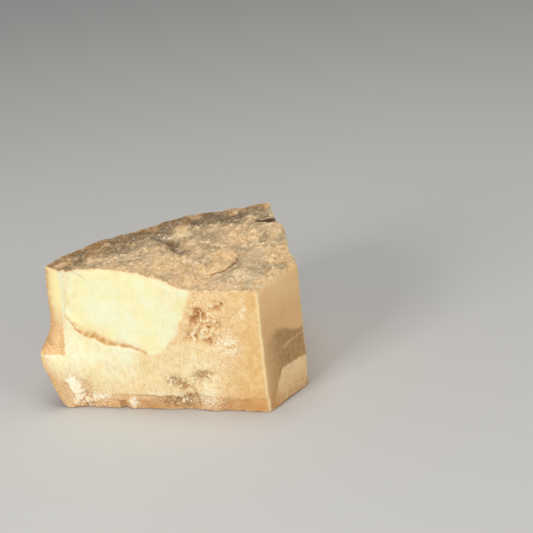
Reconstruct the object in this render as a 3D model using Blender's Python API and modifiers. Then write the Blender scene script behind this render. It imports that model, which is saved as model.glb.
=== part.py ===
"""Parmesan chunk: a sector broken out of the lower half of a matured hard-cheese wheel.

The solid starts as the turned lower half of the wheel, flat underneath and rounded at its
bottom edge. Slabs with one relief face each then break it to shape: the rough top where the
wheel was split, the split front, the knife-cut facet, the broken far side and the snapped-off
left corner. Plan positions are measured from the front right corner, where the front meets
the knife-cut facet: x runs right, y runs back, and z is the height above the resting face.
"""
from math import ceil, cos, exp, hypot, radians, sin, tan

import bmesh
import bpy
from mathutils import Vector, noise

# Driving dimensions, metres
WHEEL_RADIUS = 0.2222         # of the whole wheel, at the top of the rounded edge
WHEEL_CENTRE = (0.0100, -0.0020)
WALL_TAPER = 0.0007           # how far the rind wall draws in above that edge
EDGE_HEIGHT = 0.0505          # height of the rounded bottom edge
EDGE_DRAW = 0.0178            # how far that edge draws in towards the resting face
EDGE_TURN = 0.0036            # how much further it turns in right over the resting face
BLANK_HEIGHT = 0.1600         # of the turned half wheel before its top is broken off
WHEEL_STEPS = 96
EDGE_ROWS = 9
WALL_ROWS = 10

TOP_HEIGHT = 0.1220           # mean height of the split top
KNIFE_END = (0.0215, 0.0620)  # where the knife-cut facet ends
FAR_END = (-0.0425, 0.2125)   # where the broken far side meets the rind
CORNER_REAR = (-0.2080, 0.0345)   # where the snapped-off left corner meets the rind
CORNER_FRONT = (-0.1770, 0.0150)  # where that corner meets the front
LEDGE_HEIGHT = 0.0455         # below this height the left corner is still whole
LEDGE_FLARE = 0.0360          # height over which the corner's break curves out to the ledge
LEDGE_REACH = 0.0420          # how far it curves out
LEDGE_POWER = 3.4
LEDGE_LIMIT = 1.25
CORNER_SWELL = 0.0018         # how far that break swells out just above the curl
CORNER_TWIST = 0.45           # how far its front part turns to the front low down
TWIST_TOP = 0.0950            # the turn grows evenly from here down to the ledge
CURL_ENDS = (0.0120, 0.0340)  # the curl fades out between these lengths along the corner
LEDGE_TOP = 0.0505            # nothing is broken off the corner below this height

FRONT_LEFT = -0.1900          # left end of the front's datum line
FACET_TURN = radians(10.0)    # how far the smooth split facet turns to the left
FACET_FOOT = (-0.1040, 0.0590)    # lower right end of that facet, as (x, z)
FACET_LEAN = 0.51             # its right border moves this far right per unit of height
# The stepped crack under that facet, as (x, z) from its upper end to its lower one
CRACK_LINE = (
    (-0.186, 0.0835), (-0.178, 0.0750), (-0.170, 0.0697), (-0.161, 0.0680), (-0.1565, 0.0680),
    (-0.1445, 0.0625), (-0.133, 0.0617), (-0.123, 0.0607), (-0.115, 0.0585), (-0.1075, 0.0545),
)
STEP_HEIGHT = 0.0070          # half the height over which the facet steps out below
LEAN_START = -0.1500          # left of this, the layer under the crack leans back too
LEAN_RATE = 0.40
LEAN_HEIGHTS = (0.0400, 0.0780)   # between these heights the lean grows to its full rate

MARGIN = 0.2600               # how far each slab runs past the side that it shapes
SLAB_REACH = 0.3000           # thickness of each slab, which takes off the rest of the wheel
SLAB_CLEARANCE = 0.0100       # how far the slabs run past the blank below and above
FRONT_CELL = 0.0058           # size of the facets on each broken or cut side
TOP_CELL = 0.0064
FAR_CELL = 0.0085
CORNER_CELL = 0.0052
KNIFE_CELL = 0.0090

# Crumbled hollows of the front, as (x, z, radius, depth)
FRONT_HOLLOWS = (
    (-0.0570, 0.0900, 0.0052, 0.0040),
    (-0.0515, 0.0965, 0.0060, 0.0026),
    (-0.0350, 0.1015, 0.0065, 0.0018),
    (-0.0380, 0.0822, 0.0044, 0.0028),
    (-0.0480, 0.0795, 0.0042, 0.0022),
    (-0.0668, 0.0715, 0.0044, 0.0030),
    (-0.0595, 0.0712, 0.0040, 0.0018),
    (-0.0486, 0.0662, 0.0044, 0.0032),
    (-0.0510, 0.0850, 0.0160, 0.0012),
    (-0.0550, 0.0340, 0.0075, 0.0026),
    (-0.0640, 0.0315, 0.0060, 0.0020),
    (-0.0850, 0.0290, 0.0070, 0.0026),
    (-0.0765, 0.0245, 0.0060, 0.0018),
    (-0.0710, 0.0110, 0.0120, 0.0046),
    (-0.1740, 0.0120, 0.0090, 0.0034),
)

TOP_DIP = 0.0065              # how far the top drops towards its front right edge
TOP_DIP_LEFT = (-0.0900, -0.0620)  # the drop starts and is complete at these x
TOP_DIP_DEPTH = 0.0620        # how far back it has nearly died away

# Swellings and hollows of the split top, as (x, y, length, width, turn, rise)
TOP_SWELLINGS = (
    (-0.142, 0.008, 0.052, 0.036, radians(4), 0.0085),
    (-0.203, 0.062, 0.050, 0.022, radians(70), 0.0024),
    (-0.072, 0.064, 0.034, 0.024, radians(35), 0.0058),
    (-0.098, 0.048, 0.034, 0.018, radians(20), 0.0026),
    (-0.112, 0.108, 0.050, 0.010, radians(126), -0.0046),
    (-0.030, 0.086, 0.022, 0.030, radians(20), -0.0022),
    (-0.075, 0.152, 0.055, 0.022, radians(160), 0.0022),
    (-0.040, 0.213, 0.022, 0.016, radians(163), 0.0030),
    (-0.155, 0.147, 0.013, 0.013, 0.0, -0.0014),
)
FLAKE_RIM = ((-0.062, 0.026), (-0.044, 0.040), (-0.036, 0.058), (-0.034, 0.084))
FLAKE_LIFT = 0.0034           # how far the lifted flake stands above the top at its rim
GAP_ENDS = ((-0.064, 0.166), (-0.004, 0.171))  # crack that splits the rear strip off the top
GAP_DEPTH = 0.0070
GAP_WIDTH = 0.0042


def smooth_step(low, high, value):
    """Rise from 0 at low to 1 at high without a corner at either end."""
    part = min(max((value - low) / (high - low), 0.0), 1.0)
    return part * part * (3.0 - 2.0 * part)


def bell(distance, radius):
    """A round bump of height 1, nearly gone at twice its radius."""
    return exp(-(distance / radius) ** 2)


def rough(x, y, grain, seed):
    """Even noise of about -1 to 1 whose lumps are one grain across."""
    return noise.fractal(Vector((x / grain, y / grain, seed)), 0.9, 2.1, 3)


def beside(line_start, line_end, x, y):
    """Share of the line's length reached by (x, y), and its distance to the line's right."""
    run_x = line_end[0] - line_start[0]
    run_y = line_end[1] - line_start[1]
    length = hypot(run_x, run_y)
    share = ((x - line_start[0]) * run_x + (y - line_start[1]) * run_y) / length ** 2
    offset = ((x - line_start[0]) * run_y - (y - line_start[1]) * run_x) / length
    return share, offset


def wheel_radius(height):
    """Radius of the whole wheel at a height: a rounded bottom edge under a nearly upright wall."""
    below = max(1.0 - height / EDGE_HEIGHT, 0.0)
    above = max(height - EDGE_HEIGHT, 0.0) / (TOP_HEIGHT - EDGE_HEIGHT)
    drawn_in = EDGE_DRAW * below + EDGE_TURN * below ** 12
    return WHEEL_RADIUS - drawn_in - WALL_TAPER * min(above, 1.0) * (2.0 - min(above, 1.0))


def crack_height(x):
    """Height of the stepped crack across the front, level beyond its ends."""
    height = CRACK_LINE[0][1]
    for (left, high), (right, low) in zip(CRACK_LINE, CRACK_LINE[1:]):
        height += (low - high) * min(max((x - left) / (right - left), 0.0), 1.0)
    return height


def front_depth(x, z):
    """How far the split front lies behind its flat datum."""
    border = FACET_FOOT[0] + (z - FACET_FOOT[1]) * FACET_LEAN
    facet = max(border - x, 0.0) * tan(FACET_TURN)
    above_crack = smooth_step(-STEP_HEIGHT, STEP_HEIGHT, z - crack_height(x))
    leaning = LEAN_RATE * max(LEAN_START - x, 0.0) * smooth_step(*LEAN_HEIGHTS, z)
    depth = max(facet * above_crack, leaning)
    for hollow_x, hollow_z, radius, hollow_depth in FRONT_HOLLOWS:
        depth += hollow_depth * bell(hypot(x - hollow_x, z - hollow_z), radius)
    smooth_facet = above_crack * smooth_step(0.0, 0.010, border - x)
    depth += 0.0010 * (1.0 - 0.7 * smooth_facet) * rough(x, z, 0.022, 3.0)
    crumbled_foot = 0.0010 * smooth_step(0.012, 0.0, z) * (1.0 + rough(x, 0.0, 0.012, 8.0))
    return depth + crumbled_foot


def knife_depth(along, z):
    """How far the knife-cut facet lies behind its datum: flat, with one small nick."""
    return 0.0012 * bell(hypot(along - 0.036, z - 0.084), 0.0060)


def far_depth(along, z):
    """How far the broken far side lies behind its datum, from the knife cut backwards."""
    away_from_knife = smooth_step(0.0, 0.030, along)
    proud = bell(along - 0.103, 0.024) * smooth_step(0.119, 0.111, along)
    hollowed = 0.0012 * bell(along - 0.032, 0.022)
    bay = 0.0050 * bell(along - 0.085, 0.040) * bell(z - 0.050, 0.035)
    waves = 0.0022 * rough(along, z, 0.055, 11.0) + 0.0009 * rough(along, z, 0.018, 13.0)
    return away_from_knife * (bay + hollowed + waves
                              - 0.0056 * proud * smooth_step(0.070, 0.110, z))


def corner_depth(along, z):
    """How far the snapped-off corner lies behind its datum: it curls out to the ledge."""
    flare = min(max(LEDGE_HEIGHT + LEDGE_FLARE - z, 0.0) / LEDGE_FLARE, LEDGE_LIMIT)
    curl = LEDGE_REACH * flare ** LEDGE_POWER * smooth_step(*reversed(CURL_ENDS), along)
    turned = min(max((TWIST_TOP - z) / (TWIST_TOP - LEDGE_TOP), 0.0), 1.2)
    twist = CORNER_TWIST * max(along, 0.0) * turned
    swell = CORNER_SWELL * (smooth_step(0.118, 0.092, z) + 0.5 * smooth_step(0.080, 0.070, z))
    whole = 2.0 * LEDGE_REACH * smooth_step(LEDGE_TOP, LEDGE_TOP - 0.002, z)
    return 0.0006 * rough(along, z, 0.016, 17.0) - swell - curl - twist - whole


def top_height(x, y):
    """Height of the split top over the resting face."""
    height = TOP_HEIGHT
    height -= TOP_DIP * smooth_step(*TOP_DIP_LEFT, x) * bell(y, TOP_DIP_DEPTH)
    for swell_x, swell_y, length, width, turn, rise in TOP_SWELLINGS:
        run = (x - swell_x) * cos(turn) + (y - swell_y) * sin(turn)
        side = (y - swell_y) * cos(turn) - (x - swell_x) * sin(turn)
        height += rise * bell(run, length) * bell(side, width)
    for start, end in zip(FLAKE_RIM, FLAKE_RIM[1:]):
        share, offset = beside(start, end, x, y)
        on_rim = smooth_step(-0.15, 0.15, share) * smooth_step(1.15, 0.85, share)
        flake = smooth_step(0.0015, -0.0015, offset) * bell(min(offset, 0.0), 0.022)
        height += FLAKE_LIFT * on_rim * flake
    share, offset = beside(GAP_ENDS[0], GAP_ENDS[1], x, y)
    height -= GAP_DEPTH * smooth_step(0.0, 1.0, share) * bell(offset, GAP_WIDTH)
    calm_edge = 0.35 + 0.65 * smooth_step(0.0, 0.040, y)
    height += 0.0018 * calm_edge * rough(x, y, 0.034, 21.0)
    return height + 0.0008 * calm_edge * rough(x, y, 0.013, 25.0)


def add_object(name, mesh, collection):
    """Put a mesh into the scene as an object of its own."""
    made = bpy.data.objects.new(name, mesh)
    collection.objects.link(made)
    return made


def turned_wheel(name, collection):
    """The lower half of the wheel, turned from its outline."""
    heights = [BLANK_HEIGHT]
    heights += [EDGE_HEIGHT + (TOP_HEIGHT - EDGE_HEIGHT) * (1 - row / WALL_ROWS)
                for row in range(WALL_ROWS)]
    heights += [EDGE_HEIGHT * (1 - row / EDGE_ROWS) ** 1.5 for row in range(EDGE_ROWS + 1)]
    outline = [Vector((0.0, 0.0, BLANK_HEIGHT))]
    outline += [Vector((wheel_radius(height), 0.0, height)) for height in heights]
    outline.append(Vector((0.0, 0.0, 0.0)))
    mesh = bpy.data.meshes.new(name)
    mesh.from_pydata(outline, [(i, i + 1) for i in range(len(outline) - 1)], [])
    wheel = add_object(name, mesh, collection)
    wheel.location = (*WHEEL_CENTRE, 0.0)
    turn = wheel.modifiers.new("Turn the outline", "SCREW")
    turn.steps = turn.render_steps = WHEEL_STEPS
    turn.use_merge_vertices = True
    turn.merge_threshold = 0.0001
    return wheel


def relief_slab(name, columns, rows, place, outward, collection):
    """A thick slab that cuts with one relief face: place(u, v) gives its points, u, v 0 to 1."""
    mesh = bpy.data.meshes.new(name)
    cutter = bmesh.new()
    bmesh.ops.create_grid(cutter, x_segments=columns, y_segments=rows, size=1.0)
    for vertex in cutter.verts:
        vertex.co = place((vertex.co.x + 1.0) / 2.0, (vertex.co.y + 1.0) / 2.0)
    grown = bmesh.ops.extrude_face_region(cutter, geom=cutter.faces[:])
    moved = [item for item in grown["geom"] if isinstance(item, bmesh.types.BMVert)]
    bmesh.ops.translate(cutter, verts=moved, vec=outward * SLAB_REACH)
    bmesh.ops.recalc_face_normals(cutter, faces=cutter.faces[:])
    cutter.to_mesh(mesh)
    cutter.free()
    slab = add_object(name, mesh, collection)
    slab.hide_render = True
    slab.display_type = "WIRE"
    return slab


def side_slab(name, start, end, depth_at, cell, collection):
    """An upright slab along one side of the chunk, which lies to the left of start to end."""
    start = Vector((*start, 0.0))
    end = Vector((*end, 0.0))
    along = (end - start).normalized()
    outward = Vector((along.y, -along.x, 0.0))
    length = (end - start).length + 2.0 * MARGIN
    low = -SLAB_CLEARANCE
    high = BLANK_HEIGHT + SLAB_CLEARANCE

    def place(u, v):
        reach = length * u - MARGIN
        height = low + (high - low) * v
        return start + along * reach - outward * depth_at(reach, height) + Vector((0, 0, height))

    columns = ceil(length / cell)
    rows = ceil((high - low) / cell)
    return relief_slab(name, columns, rows, place, outward, collection)


def top_slab(name, collection):
    """The slab above the chunk, whose lower face is the split top."""
    left = WHEEL_CENTRE[0] - WHEEL_RADIUS - SLAB_CLEARANCE
    right = KNIFE_END[0] + SLAB_CLEARANCE
    front = -SLAB_CLEARANCE
    rear = FAR_END[1] + SLAB_CLEARANCE

    def place(u, v):
        x = left + (right - left) * u
        y = front + (rear - front) * v
        return Vector((x, y, top_height(x, y)))

    columns = ceil((right - left) / TOP_CELL)
    rows = ceil((rear - front) / TOP_CELL)
    return relief_slab(name, columns, rows, place, Vector((0.0, 0.0, 1.0)), collection)


def cheese_material():
    """Matured paste: dull straw yellow."""
    material = bpy.data.materials.new("matured_paste")
    material.use_nodes = True
    shader = material.node_tree.nodes["Principled BSDF"]
    shader.inputs["Base Color"].default_value = (0.80, 0.60, 0.32, 1.0)
    shader.inputs["Roughness"].default_value = 0.62
    shader.inputs["Metallic"].default_value = 0.0
    return material


def stand_on_centre(chunk, cutters):
    """Move the chunk and its cutters so that its footprint's middle is at the origin."""
    bpy.context.view_layer.update()
    solid = chunk.evaluated_get(bpy.context.evaluated_depsgraph_get())
    corners = [chunk.matrix_world @ Vector(corner) for corner in solid.bound_box]
    middle = (corners[0] + corners[6]) / 2.0
    for item in [chunk, *cutters]:
        item.location.x -= middle.x
        item.location.y -= middle.y


for old in list(bpy.data.objects):
    bpy.data.objects.remove(old)

parts = bpy.data.collections.new("parmesan_chunk")
breaks = bpy.data.collections.new("breaks_and_cuts")
bpy.context.scene.collection.children.link(parts)
bpy.context.scene.collection.children.link(breaks)

chunk = turned_wheel("cheese_chunk", parts)
slabs = [
    side_slab("front_break", (FRONT_LEFT, 0.0), (0.0, 0.0),
              lambda along, z: front_depth(FRONT_LEFT + along, z), FRONT_CELL, breaks),
    side_slab("knife_cut", (0.0, 0.0), KNIFE_END, knife_depth, KNIFE_CELL, breaks),
    side_slab("far_break", KNIFE_END, FAR_END, far_depth, FAR_CELL, breaks),
    side_slab("corner_break", CORNER_REAR, CORNER_FRONT, corner_depth, CORNER_CELL, breaks),
    top_slab("top_break", breaks),
]
for slab in slabs:
    cut = chunk.modifiers.new(slab.name, "BOOLEAN")
    cut.operation = "DIFFERENCE"
    cut.object = slab
chunk.data.materials.append(cheese_material())
stand_on_centre(chunk, slabs)
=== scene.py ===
"""Parmesan chunk: the looks of a sector broken out of the lower half of a matured wheel.

Plan positions are measured from the front right corner of the chunk, where the split front
meets the knife-cut facet: x runs right, y runs back, and z is the height over the resting
face. Every length is in metres.
"""

from math import cos, radians, sin, tan

import bmesh
import bpy
import numpy as np
from mathutils import Matrix, Vector, noise


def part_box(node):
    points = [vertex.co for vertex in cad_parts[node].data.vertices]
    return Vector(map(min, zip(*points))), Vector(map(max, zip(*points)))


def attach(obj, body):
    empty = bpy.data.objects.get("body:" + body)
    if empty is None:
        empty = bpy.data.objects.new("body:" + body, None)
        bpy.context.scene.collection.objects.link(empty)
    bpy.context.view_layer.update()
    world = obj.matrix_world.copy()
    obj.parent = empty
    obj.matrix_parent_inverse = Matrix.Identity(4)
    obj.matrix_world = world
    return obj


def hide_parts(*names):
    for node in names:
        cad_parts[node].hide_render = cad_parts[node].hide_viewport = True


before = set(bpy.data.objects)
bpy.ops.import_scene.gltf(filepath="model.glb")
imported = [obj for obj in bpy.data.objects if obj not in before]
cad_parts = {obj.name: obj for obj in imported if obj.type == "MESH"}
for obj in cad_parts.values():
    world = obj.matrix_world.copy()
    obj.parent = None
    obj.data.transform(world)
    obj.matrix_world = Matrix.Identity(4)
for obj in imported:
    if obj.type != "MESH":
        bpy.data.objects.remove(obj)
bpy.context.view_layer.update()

# ---------------------------------------------------------------------------------------
# The chunk
# One solid piece of cooked, pressed and long-matured paste with its natural rind on the
# round wall, the rounded bottom edge and the resting face. Every other side is paste: split
# along its grain at the front and the top, cut with a knife at the right, broken behind.
# ---------------------------------------------------------------------------------------

LOW, HIGH = (np.array(corner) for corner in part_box("cheese_chunk"))
KNIFE_END = (0.0215, 0.0620)  # where the knife-cut facet ends
FRONT_BULGE = 0.0007          # how far the front swells past its datum
CORNER_AT = np.array([HIGH[0] - KNIFE_END[0], LOW[1] + FRONT_BULGE, LOW[2]])
FAR_END = (-0.0425, 0.2125)   # where the broken far side meets the rind
CORNER_REAR = (-0.2080, 0.0345)   # the snapped left corner runs from here
CORNER_FRONT = (-0.1770, 0.0150)  # to here

WHEEL_RADIUS = 0.2222         # of the whole wheel, at the top of the rounded edge
WHEEL_CENTRE = (0.0100, -0.0020)
WALL_TAPER = 0.0007           # how much narrower the wheel is at the split top
EDGE_HEIGHT = 0.0505          # height of the rounded bottom edge
EDGE_DRAW = 0.0178            # how far that edge draws in towards the resting face
EDGE_TURN = 0.0036            # how much further it turns in right over the resting face
TOP_HEIGHT = 0.1220           # middling height of the split top

CELL = 0.00095          # of the grid that the skin is drawn from
SHEET_CELL = 0.0006     # of the grid that a side is worked out on
SKIN_TRIANGLES = 196000

FLAKE_EDGE = 0.16             # share of a flake that its rim takes
FINER, WEAKER, SHIFTED = 2.03, 0.55, 7.3  # each finer layer of lumps against the one before
dice = np.random.default_rng(11)
SHUFFLE = dice.permutation(256)
SPOKES = dice.normal(size=(256, 3))
SPOKES /= np.linalg.norm(SPOKES, axis=1)[:, None]
DRAWS = dice.random((256, 3))


def as_share(value):
    """Held between 0 and 1, as a share has to be."""
    return np.clip(value, 0.0, 1.0)


def rise(low, high, value):
    """Rise from 0 at low to 1 at high without a corner at either end."""
    part = as_share((value - low) / (high - low))
    return part * part * (3.0 - 2.0 * part)


def bell(distance, radius):
    """A round bump of height 1, nearly gone at twice its radius."""
    return np.exp(-(distance / radius) ** 2)


def seen_from(x, y, at_x, at_y, turn):
    """A point's place along and across a direction, measured from another point."""
    return ((x - at_x) * cos(turn) + (y - at_y) * sin(turn),
            (y - at_y) * cos(turn) - (x - at_x) * sin(turn))


def spot(x, y, at_x, at_y, wide, high, turn=0.0):
    """A soft oval patch of height 1 at a place on a side."""
    along, across = seen_from(x, y, at_x, at_y, turn)
    return np.exp(-(along / wide) ** 2 - (across / high) ** 2)


def patches(x, y, *rows):
    """Several such patches together. A row is how strong one is, then its place and size."""
    return sum(height * spot(x, y, *patch) for height, *patch in rows)


def rough(x, y, grain, seed):
    """The same even noise that the plain solid has, one grain across."""
    x, y = np.broadcast_arrays(x, y)
    pairs = zip((x / grain).ravel().tolist(), (y / grain).ravel().tolist())
    lumps = [noise.fractal(Vector((a, b, seed)), 0.9, 2.1, 3) for a, b in pairs]
    return np.array(lumps).reshape(x.shape)


def lot(i, j, k):
    """A number from 0 to 255 drawn for each whole place."""
    first = SHUFFLE[i & 255]
    second = SHUFFLE[(first + j) & 255]
    return SHUFFLE[(second + k) & 255]


def lumps(x, y, z=0.0):
    """Even noise of about -1 to 1 with one lump to a unit."""
    x, y, z = np.broadcast_arrays(x, y, z)
    i, j, k = (np.floor(v).astype(np.int32) for v in (x, y, z))
    u, v, w = x - i, y - j, z - k
    ease = [t * t * t * (t * (t * 6.0 - 15.0) + 10.0) for t in (u, v, w)]
    total = np.zeros(x.shape)
    for a in (0, 1):
        for b in (0, 1):
            for c in (0, 1):
                spoke = SPOKES[lot(i + a, j + b, k + c)]
                lean = spoke[..., 0] * (u - a) + spoke[..., 1] * (v - b) + spoke[..., 2] * (w - c)
                share = ((ease[0] if a else 1.0 - ease[0]) * (ease[1] if b else 1.0 - ease[1])
                         * (ease[2] if c else 1.0 - ease[2]))
                total += share * lean
    return total * 1.7


def many_lumps(x, y, z=0.0, octaves=3):
    """Lumps with finer lumps on them."""
    total = 0.0
    for octave in range(octaves):
        scale = FINER ** octave
        layer = lumps(x * scale, y * scale, z * scale + SHIFTED * octave)
        total = total + layer * WEAKER ** octave
    return total


def crumbs(x, y, layer=0):
    """For each point: distance to the nearest crumb's middle, to the seam, and its draw."""
    x, y = np.broadcast_arrays(x, y)
    i, j = np.floor(x).astype(np.int32), np.floor(y).astype(np.int32)
    nearest = np.full(x.shape, 9.0)
    second = np.full(x.shape, 9.0)
    drawn = np.zeros(x.shape)
    for a in (-1, 0, 1):
        for b in (-1, 0, 1):
            draw = DRAWS[lot(i + a, j + b, layer)]
            away = np.hypot(i + a + draw[..., 0] - x, j + b + draw[..., 1] - y)
            closer = away < nearest
            second = np.where(closer, nearest, np.minimum(second, away))
            drawn = np.where(closer, draw[..., 2], drawn)
            nearest = np.where(closer, away, nearest)
    return nearest, second - nearest, drawn


def sockets(x, y, wide, high, layer, drawn=(0.40, 0.80), seam_ends=(0.03, 0.40)):
    """Places where a crumb has come away, on a side that breaks into crumbs of one size."""
    _, seam, draw = crumbs(x / wide, y / high, layer)
    return rise(*drawn, draw) * rise(*seam_ends, seam)


def terraces(height, levels):
    """Height in flat flakes with crisp, uneven rims instead of slopes."""
    steps = height * levels
    floor = np.floor(steps)
    return (floor + rise(1.0 - FLAKE_EDGE, 1.0, steps - floor)) / levels


def line_frame(start, end):
    """Unit directions along a side's datum and out of the paste."""
    run = np.array([end[0] - start[0], end[1] - start[1]])
    run /= np.hypot(*run)
    return run, np.array([run[1], -run[0]])


def reach_from(start, way, x, y, more=0.0):
    """How far a point lies from a start in one direction, on top of what there is."""
    return more + (x - start[0]) * way[0] + (y - start[1]) * way[1]


def beside(start, end, x, y):
    """Share of a line's length reached by (x, y), and its distance to the line's right."""
    run_x, run_y = end[0] - start[0], end[1] - start[1]
    length = np.hypot(run_x, run_y)
    share = ((x - start[0]) * run_x + (y - start[1]) * run_y) / length ** 2
    offset = ((x - start[0]) * run_y - (y - start[1]) * run_x) / length
    return share, offset


def along_line(points, x, y):
    """Share of a bent line's length reached beside (x, y), and how far to its right it is."""
    points = np.array(points)
    lengths = np.hypot(*np.diff(points, axis=0).T)
    before = np.concatenate([[0.0], np.cumsum(lengths)])
    x, y = np.broadcast_arrays(x, y)
    nearest = np.full(x.shape, 9.0)
    reached, right = np.zeros(x.shape), np.zeros(x.shape)
    for number, length in enumerate(lengths):
        part, offset = beside(points[number], points[number + 1], x, y)
        over = (part - as_share(part)) * length
        away = np.hypot(over, offset)
        closer = away < nearest
        nearest = np.where(closer, away, nearest)
        run = before[number] + as_share(part) * length
        reached = np.where(closer, run / before[-1], reached)
        right = np.where(closer, np.where(offset < 0.0, -away, away), right)
    return reached, right


def wheel_radius(height):
    """Radius of the whole wheel at a height."""
    below = as_share(1.0 - height / EDGE_HEIGHT)
    above = as_share((height - EDGE_HEIGHT) / (TOP_HEIGHT - EDGE_HEIGHT))
    drawn_in = EDGE_DRAW * below + EDGE_TURN * below ** 12
    return WHEEL_RADIUS - drawn_in - WALL_TAPER * above * (2.0 - above)


# The split front. Places on it are (x, z).
CRACK_LINE = (
    (-0.186, 0.0835), (-0.178, 0.0765), (-0.1772, 0.0740), (-0.170, 0.0697), (-0.161, 0.0676),
    (-0.1575, 0.0688), (-0.1505, 0.0655), (-0.1445, 0.0625), (-0.1400, 0.0618), (-0.133, 0.0622),
    (-0.128, 0.0605), (-0.123, 0.0608), (-0.115, 0.0585), (-0.1075, 0.0545),
)
CRACK_STEP = 0.0017           # how soon the facet reaches its full depth above the crack
# line above the left part of the crack along which a band of painted shade runs
UPPER_CRACK_SHADE = ((-0.187, 0.0845), (-0.180, 0.0800), (-0.172, 0.0755), (-0.163, 0.0725),
               (-0.154, 0.0710))
HAIRLINE = ((-0.183, 0.1270), (-0.171, 0.1238), (-0.162, 0.1195), (-0.157, 0.118))
PALE_RIGHT = (                # right border of the pale, freshly split paste, which is partly a painted pool of light, as (z, x)
    (0.0480, -0.1040), (0.0548, -0.0934), (0.0674, -0.0810), (0.0764, -0.0745),
    (0.0876, -0.0720), (0.0986, -0.0655), (0.1140, -0.0600), (0.1300, -0.0530),
)
FACET_TURN = radians(10.0)    # how far the smooth facet turns to the left
FACET_FOOT = (-0.1040, 0.0590)
FACET_LEAN = 0.51             # run of its right border over its height
LEAN_START = -0.1500          # left of here the facet turns away further
LEAN_RATE, LEAN_HEIGHTS = 0.40, (0.0400, 0.0780)
SIDE_HOLLOWS = (              # crumbled hollows right of the facet: x, z, radius, depth
    (-0.0594, 0.0880, 0.0040, 0.0044),
    (-0.0530, 0.0932, 0.0050, 0.0028),
    (-0.0362, 0.1010, 0.0058, 0.0020),
    (-0.0380, 0.0822, 0.0032, 0.0034),
    (-0.0480, 0.0795, 0.0030, 0.0026),
    (-0.0668, 0.0715, 0.0034, 0.0036),
    (-0.0595, 0.0712, 0.0028, 0.0022),
    (-0.0486, 0.0662, 0.0036, 0.0038),
    (-0.0436, 0.0679, 0.0036, 0.0018),
)
BROAD_HOLLOW = (-0.0510, 0.0850, 0.0160, 0.0012)
LOW_HOLLOWS = (               # the smaller ones low down
    (-0.0550, 0.0340, 0.0062, 0.0028),
    (-0.0640, 0.0315, 0.0044, 0.0022),
    (-0.0850, 0.0290, 0.0056, 0.0028),
    (-0.0765, 0.0245, 0.0050, 0.0022),
)
FOOT_DENTS = ((-0.0710, 0.0110, 0.0120, 0.0040), (-0.1740, 0.0120, 0.0090, 0.0024))
FULL_HOLLOW = 0.0034          # depth at which a hollow is as dark as it gets
CRUMBLED_PATCH = (            # like the patches below: strength, x, z, half width and height, turn
    (0.95, -0.056, 0.090, 0.012, 0.012),
    (0.80, -0.062, 0.074, 0.012, 0.009),
    (0.75, -0.043, 0.076, 0.010, 0.012),
    (0.70, -0.038, 0.099, 0.011, 0.009, 0.6),
)
SPECKLED = (                  # pale specks right of the hollows
    (0.95, -0.031, 0.063, 0.012, 0.012),
    (0.75, -0.014, 0.100, 0.0035, 0.009),
    (0.60, -0.019, 0.091, 0.005, 0.004),
    (0.35, -0.055, 0.045, 0.020, 0.008),
)
LOW_PATCH = (
    (0.90, -0.086, 0.0285, 0.008, 0.004),
    (0.90, -0.076, 0.024, 0.008, 0.005),
    (0.95, -0.057, 0.034, 0.012, 0.0055),
    (0.95, -0.080, 0.009, 0.018, 0.007),
)
STANDING_LUMP = (1.3, -0.0535, 0.014, 0.009, 0.013)
BAND_HEIGHT = 0.0148          # of the chipped band along the foot
LOW_CHIPS = (                 # x, z, half width, half height, turn, depth, pale or dark
    (-0.1510, 0.0045, 0.0105, 0.0055, 0.05, 0.0012, 0.10),
    (-0.1365, 0.0035, 0.0034, 0.0045, 0.20, 0.0024, -0.90),
    (-0.1120, 0.0048, 0.0120, 0.0040, 0.00, 0.0014, -0.30),
    (-0.0830, 0.0070, 0.0150, 0.0055, 0.00, 0.0026, -0.45),
    (-0.0655, 0.0130, 0.0014, 0.0090, 0.15, 0.0014, -0.50),
    (-0.1690, 0.0020, 0.0050, 0.0028, 0.10, 0.0018, -0.80),
    (-0.0300, 0.0060, 0.0120, 0.0050, 0.04, 0.0012, -0.20),
)
DARK_NICKS = ((-0.1900, 0.0232), (-0.1743, 0.0050), (-0.1674, 0.0089), (-0.1365, 0.0056))
LOOSE_FOOT = (                # crumbling places in the band
    (1.2, -0.1265, 0.0065, 0.004, 0.007),
    (1.0, -0.160, 0.011, 0.009, 0.006),
    (0.8, -0.150, 0.014, 0.010, 0.004),
)
TORN_FOOT = (                 # torn fibres at the lower left
    (1.2, -0.176, 0.014, 0.010, 0.013),
    (0.9, -0.184, 0.029, 0.006, 0.006),
    (0.8, -0.168, 0.021, 0.008, 0.008),
)
WHITE_TUFTS = (
    (1.1, -0.1830, 0.0270, 0.0050, 0.0055),
    (1.1, -0.1785, 0.0190, 0.0060, 0.0065, -0.5),
    (0.9, -0.1800, 0.0085, 0.0050, 0.0060),
    (0.8, -0.1700, 0.0070, 0.0040, 0.0060),
    (0.9, -0.1262, 0.0070, 0.0045, 0.0055),
    (0.4, -0.1050, 0.0180, 0.0300, 0.0030),
)


def hollowness(rows, x, z):
    """How far a point lies in a group of small hollows."""
    return sum(min(deep / FULL_HOLLOW, 1.2) * bell(np.hypot(x - at_x, z - at_z), radius * 1.1)
               for at_x, at_z, radius, deep in rows)


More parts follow.
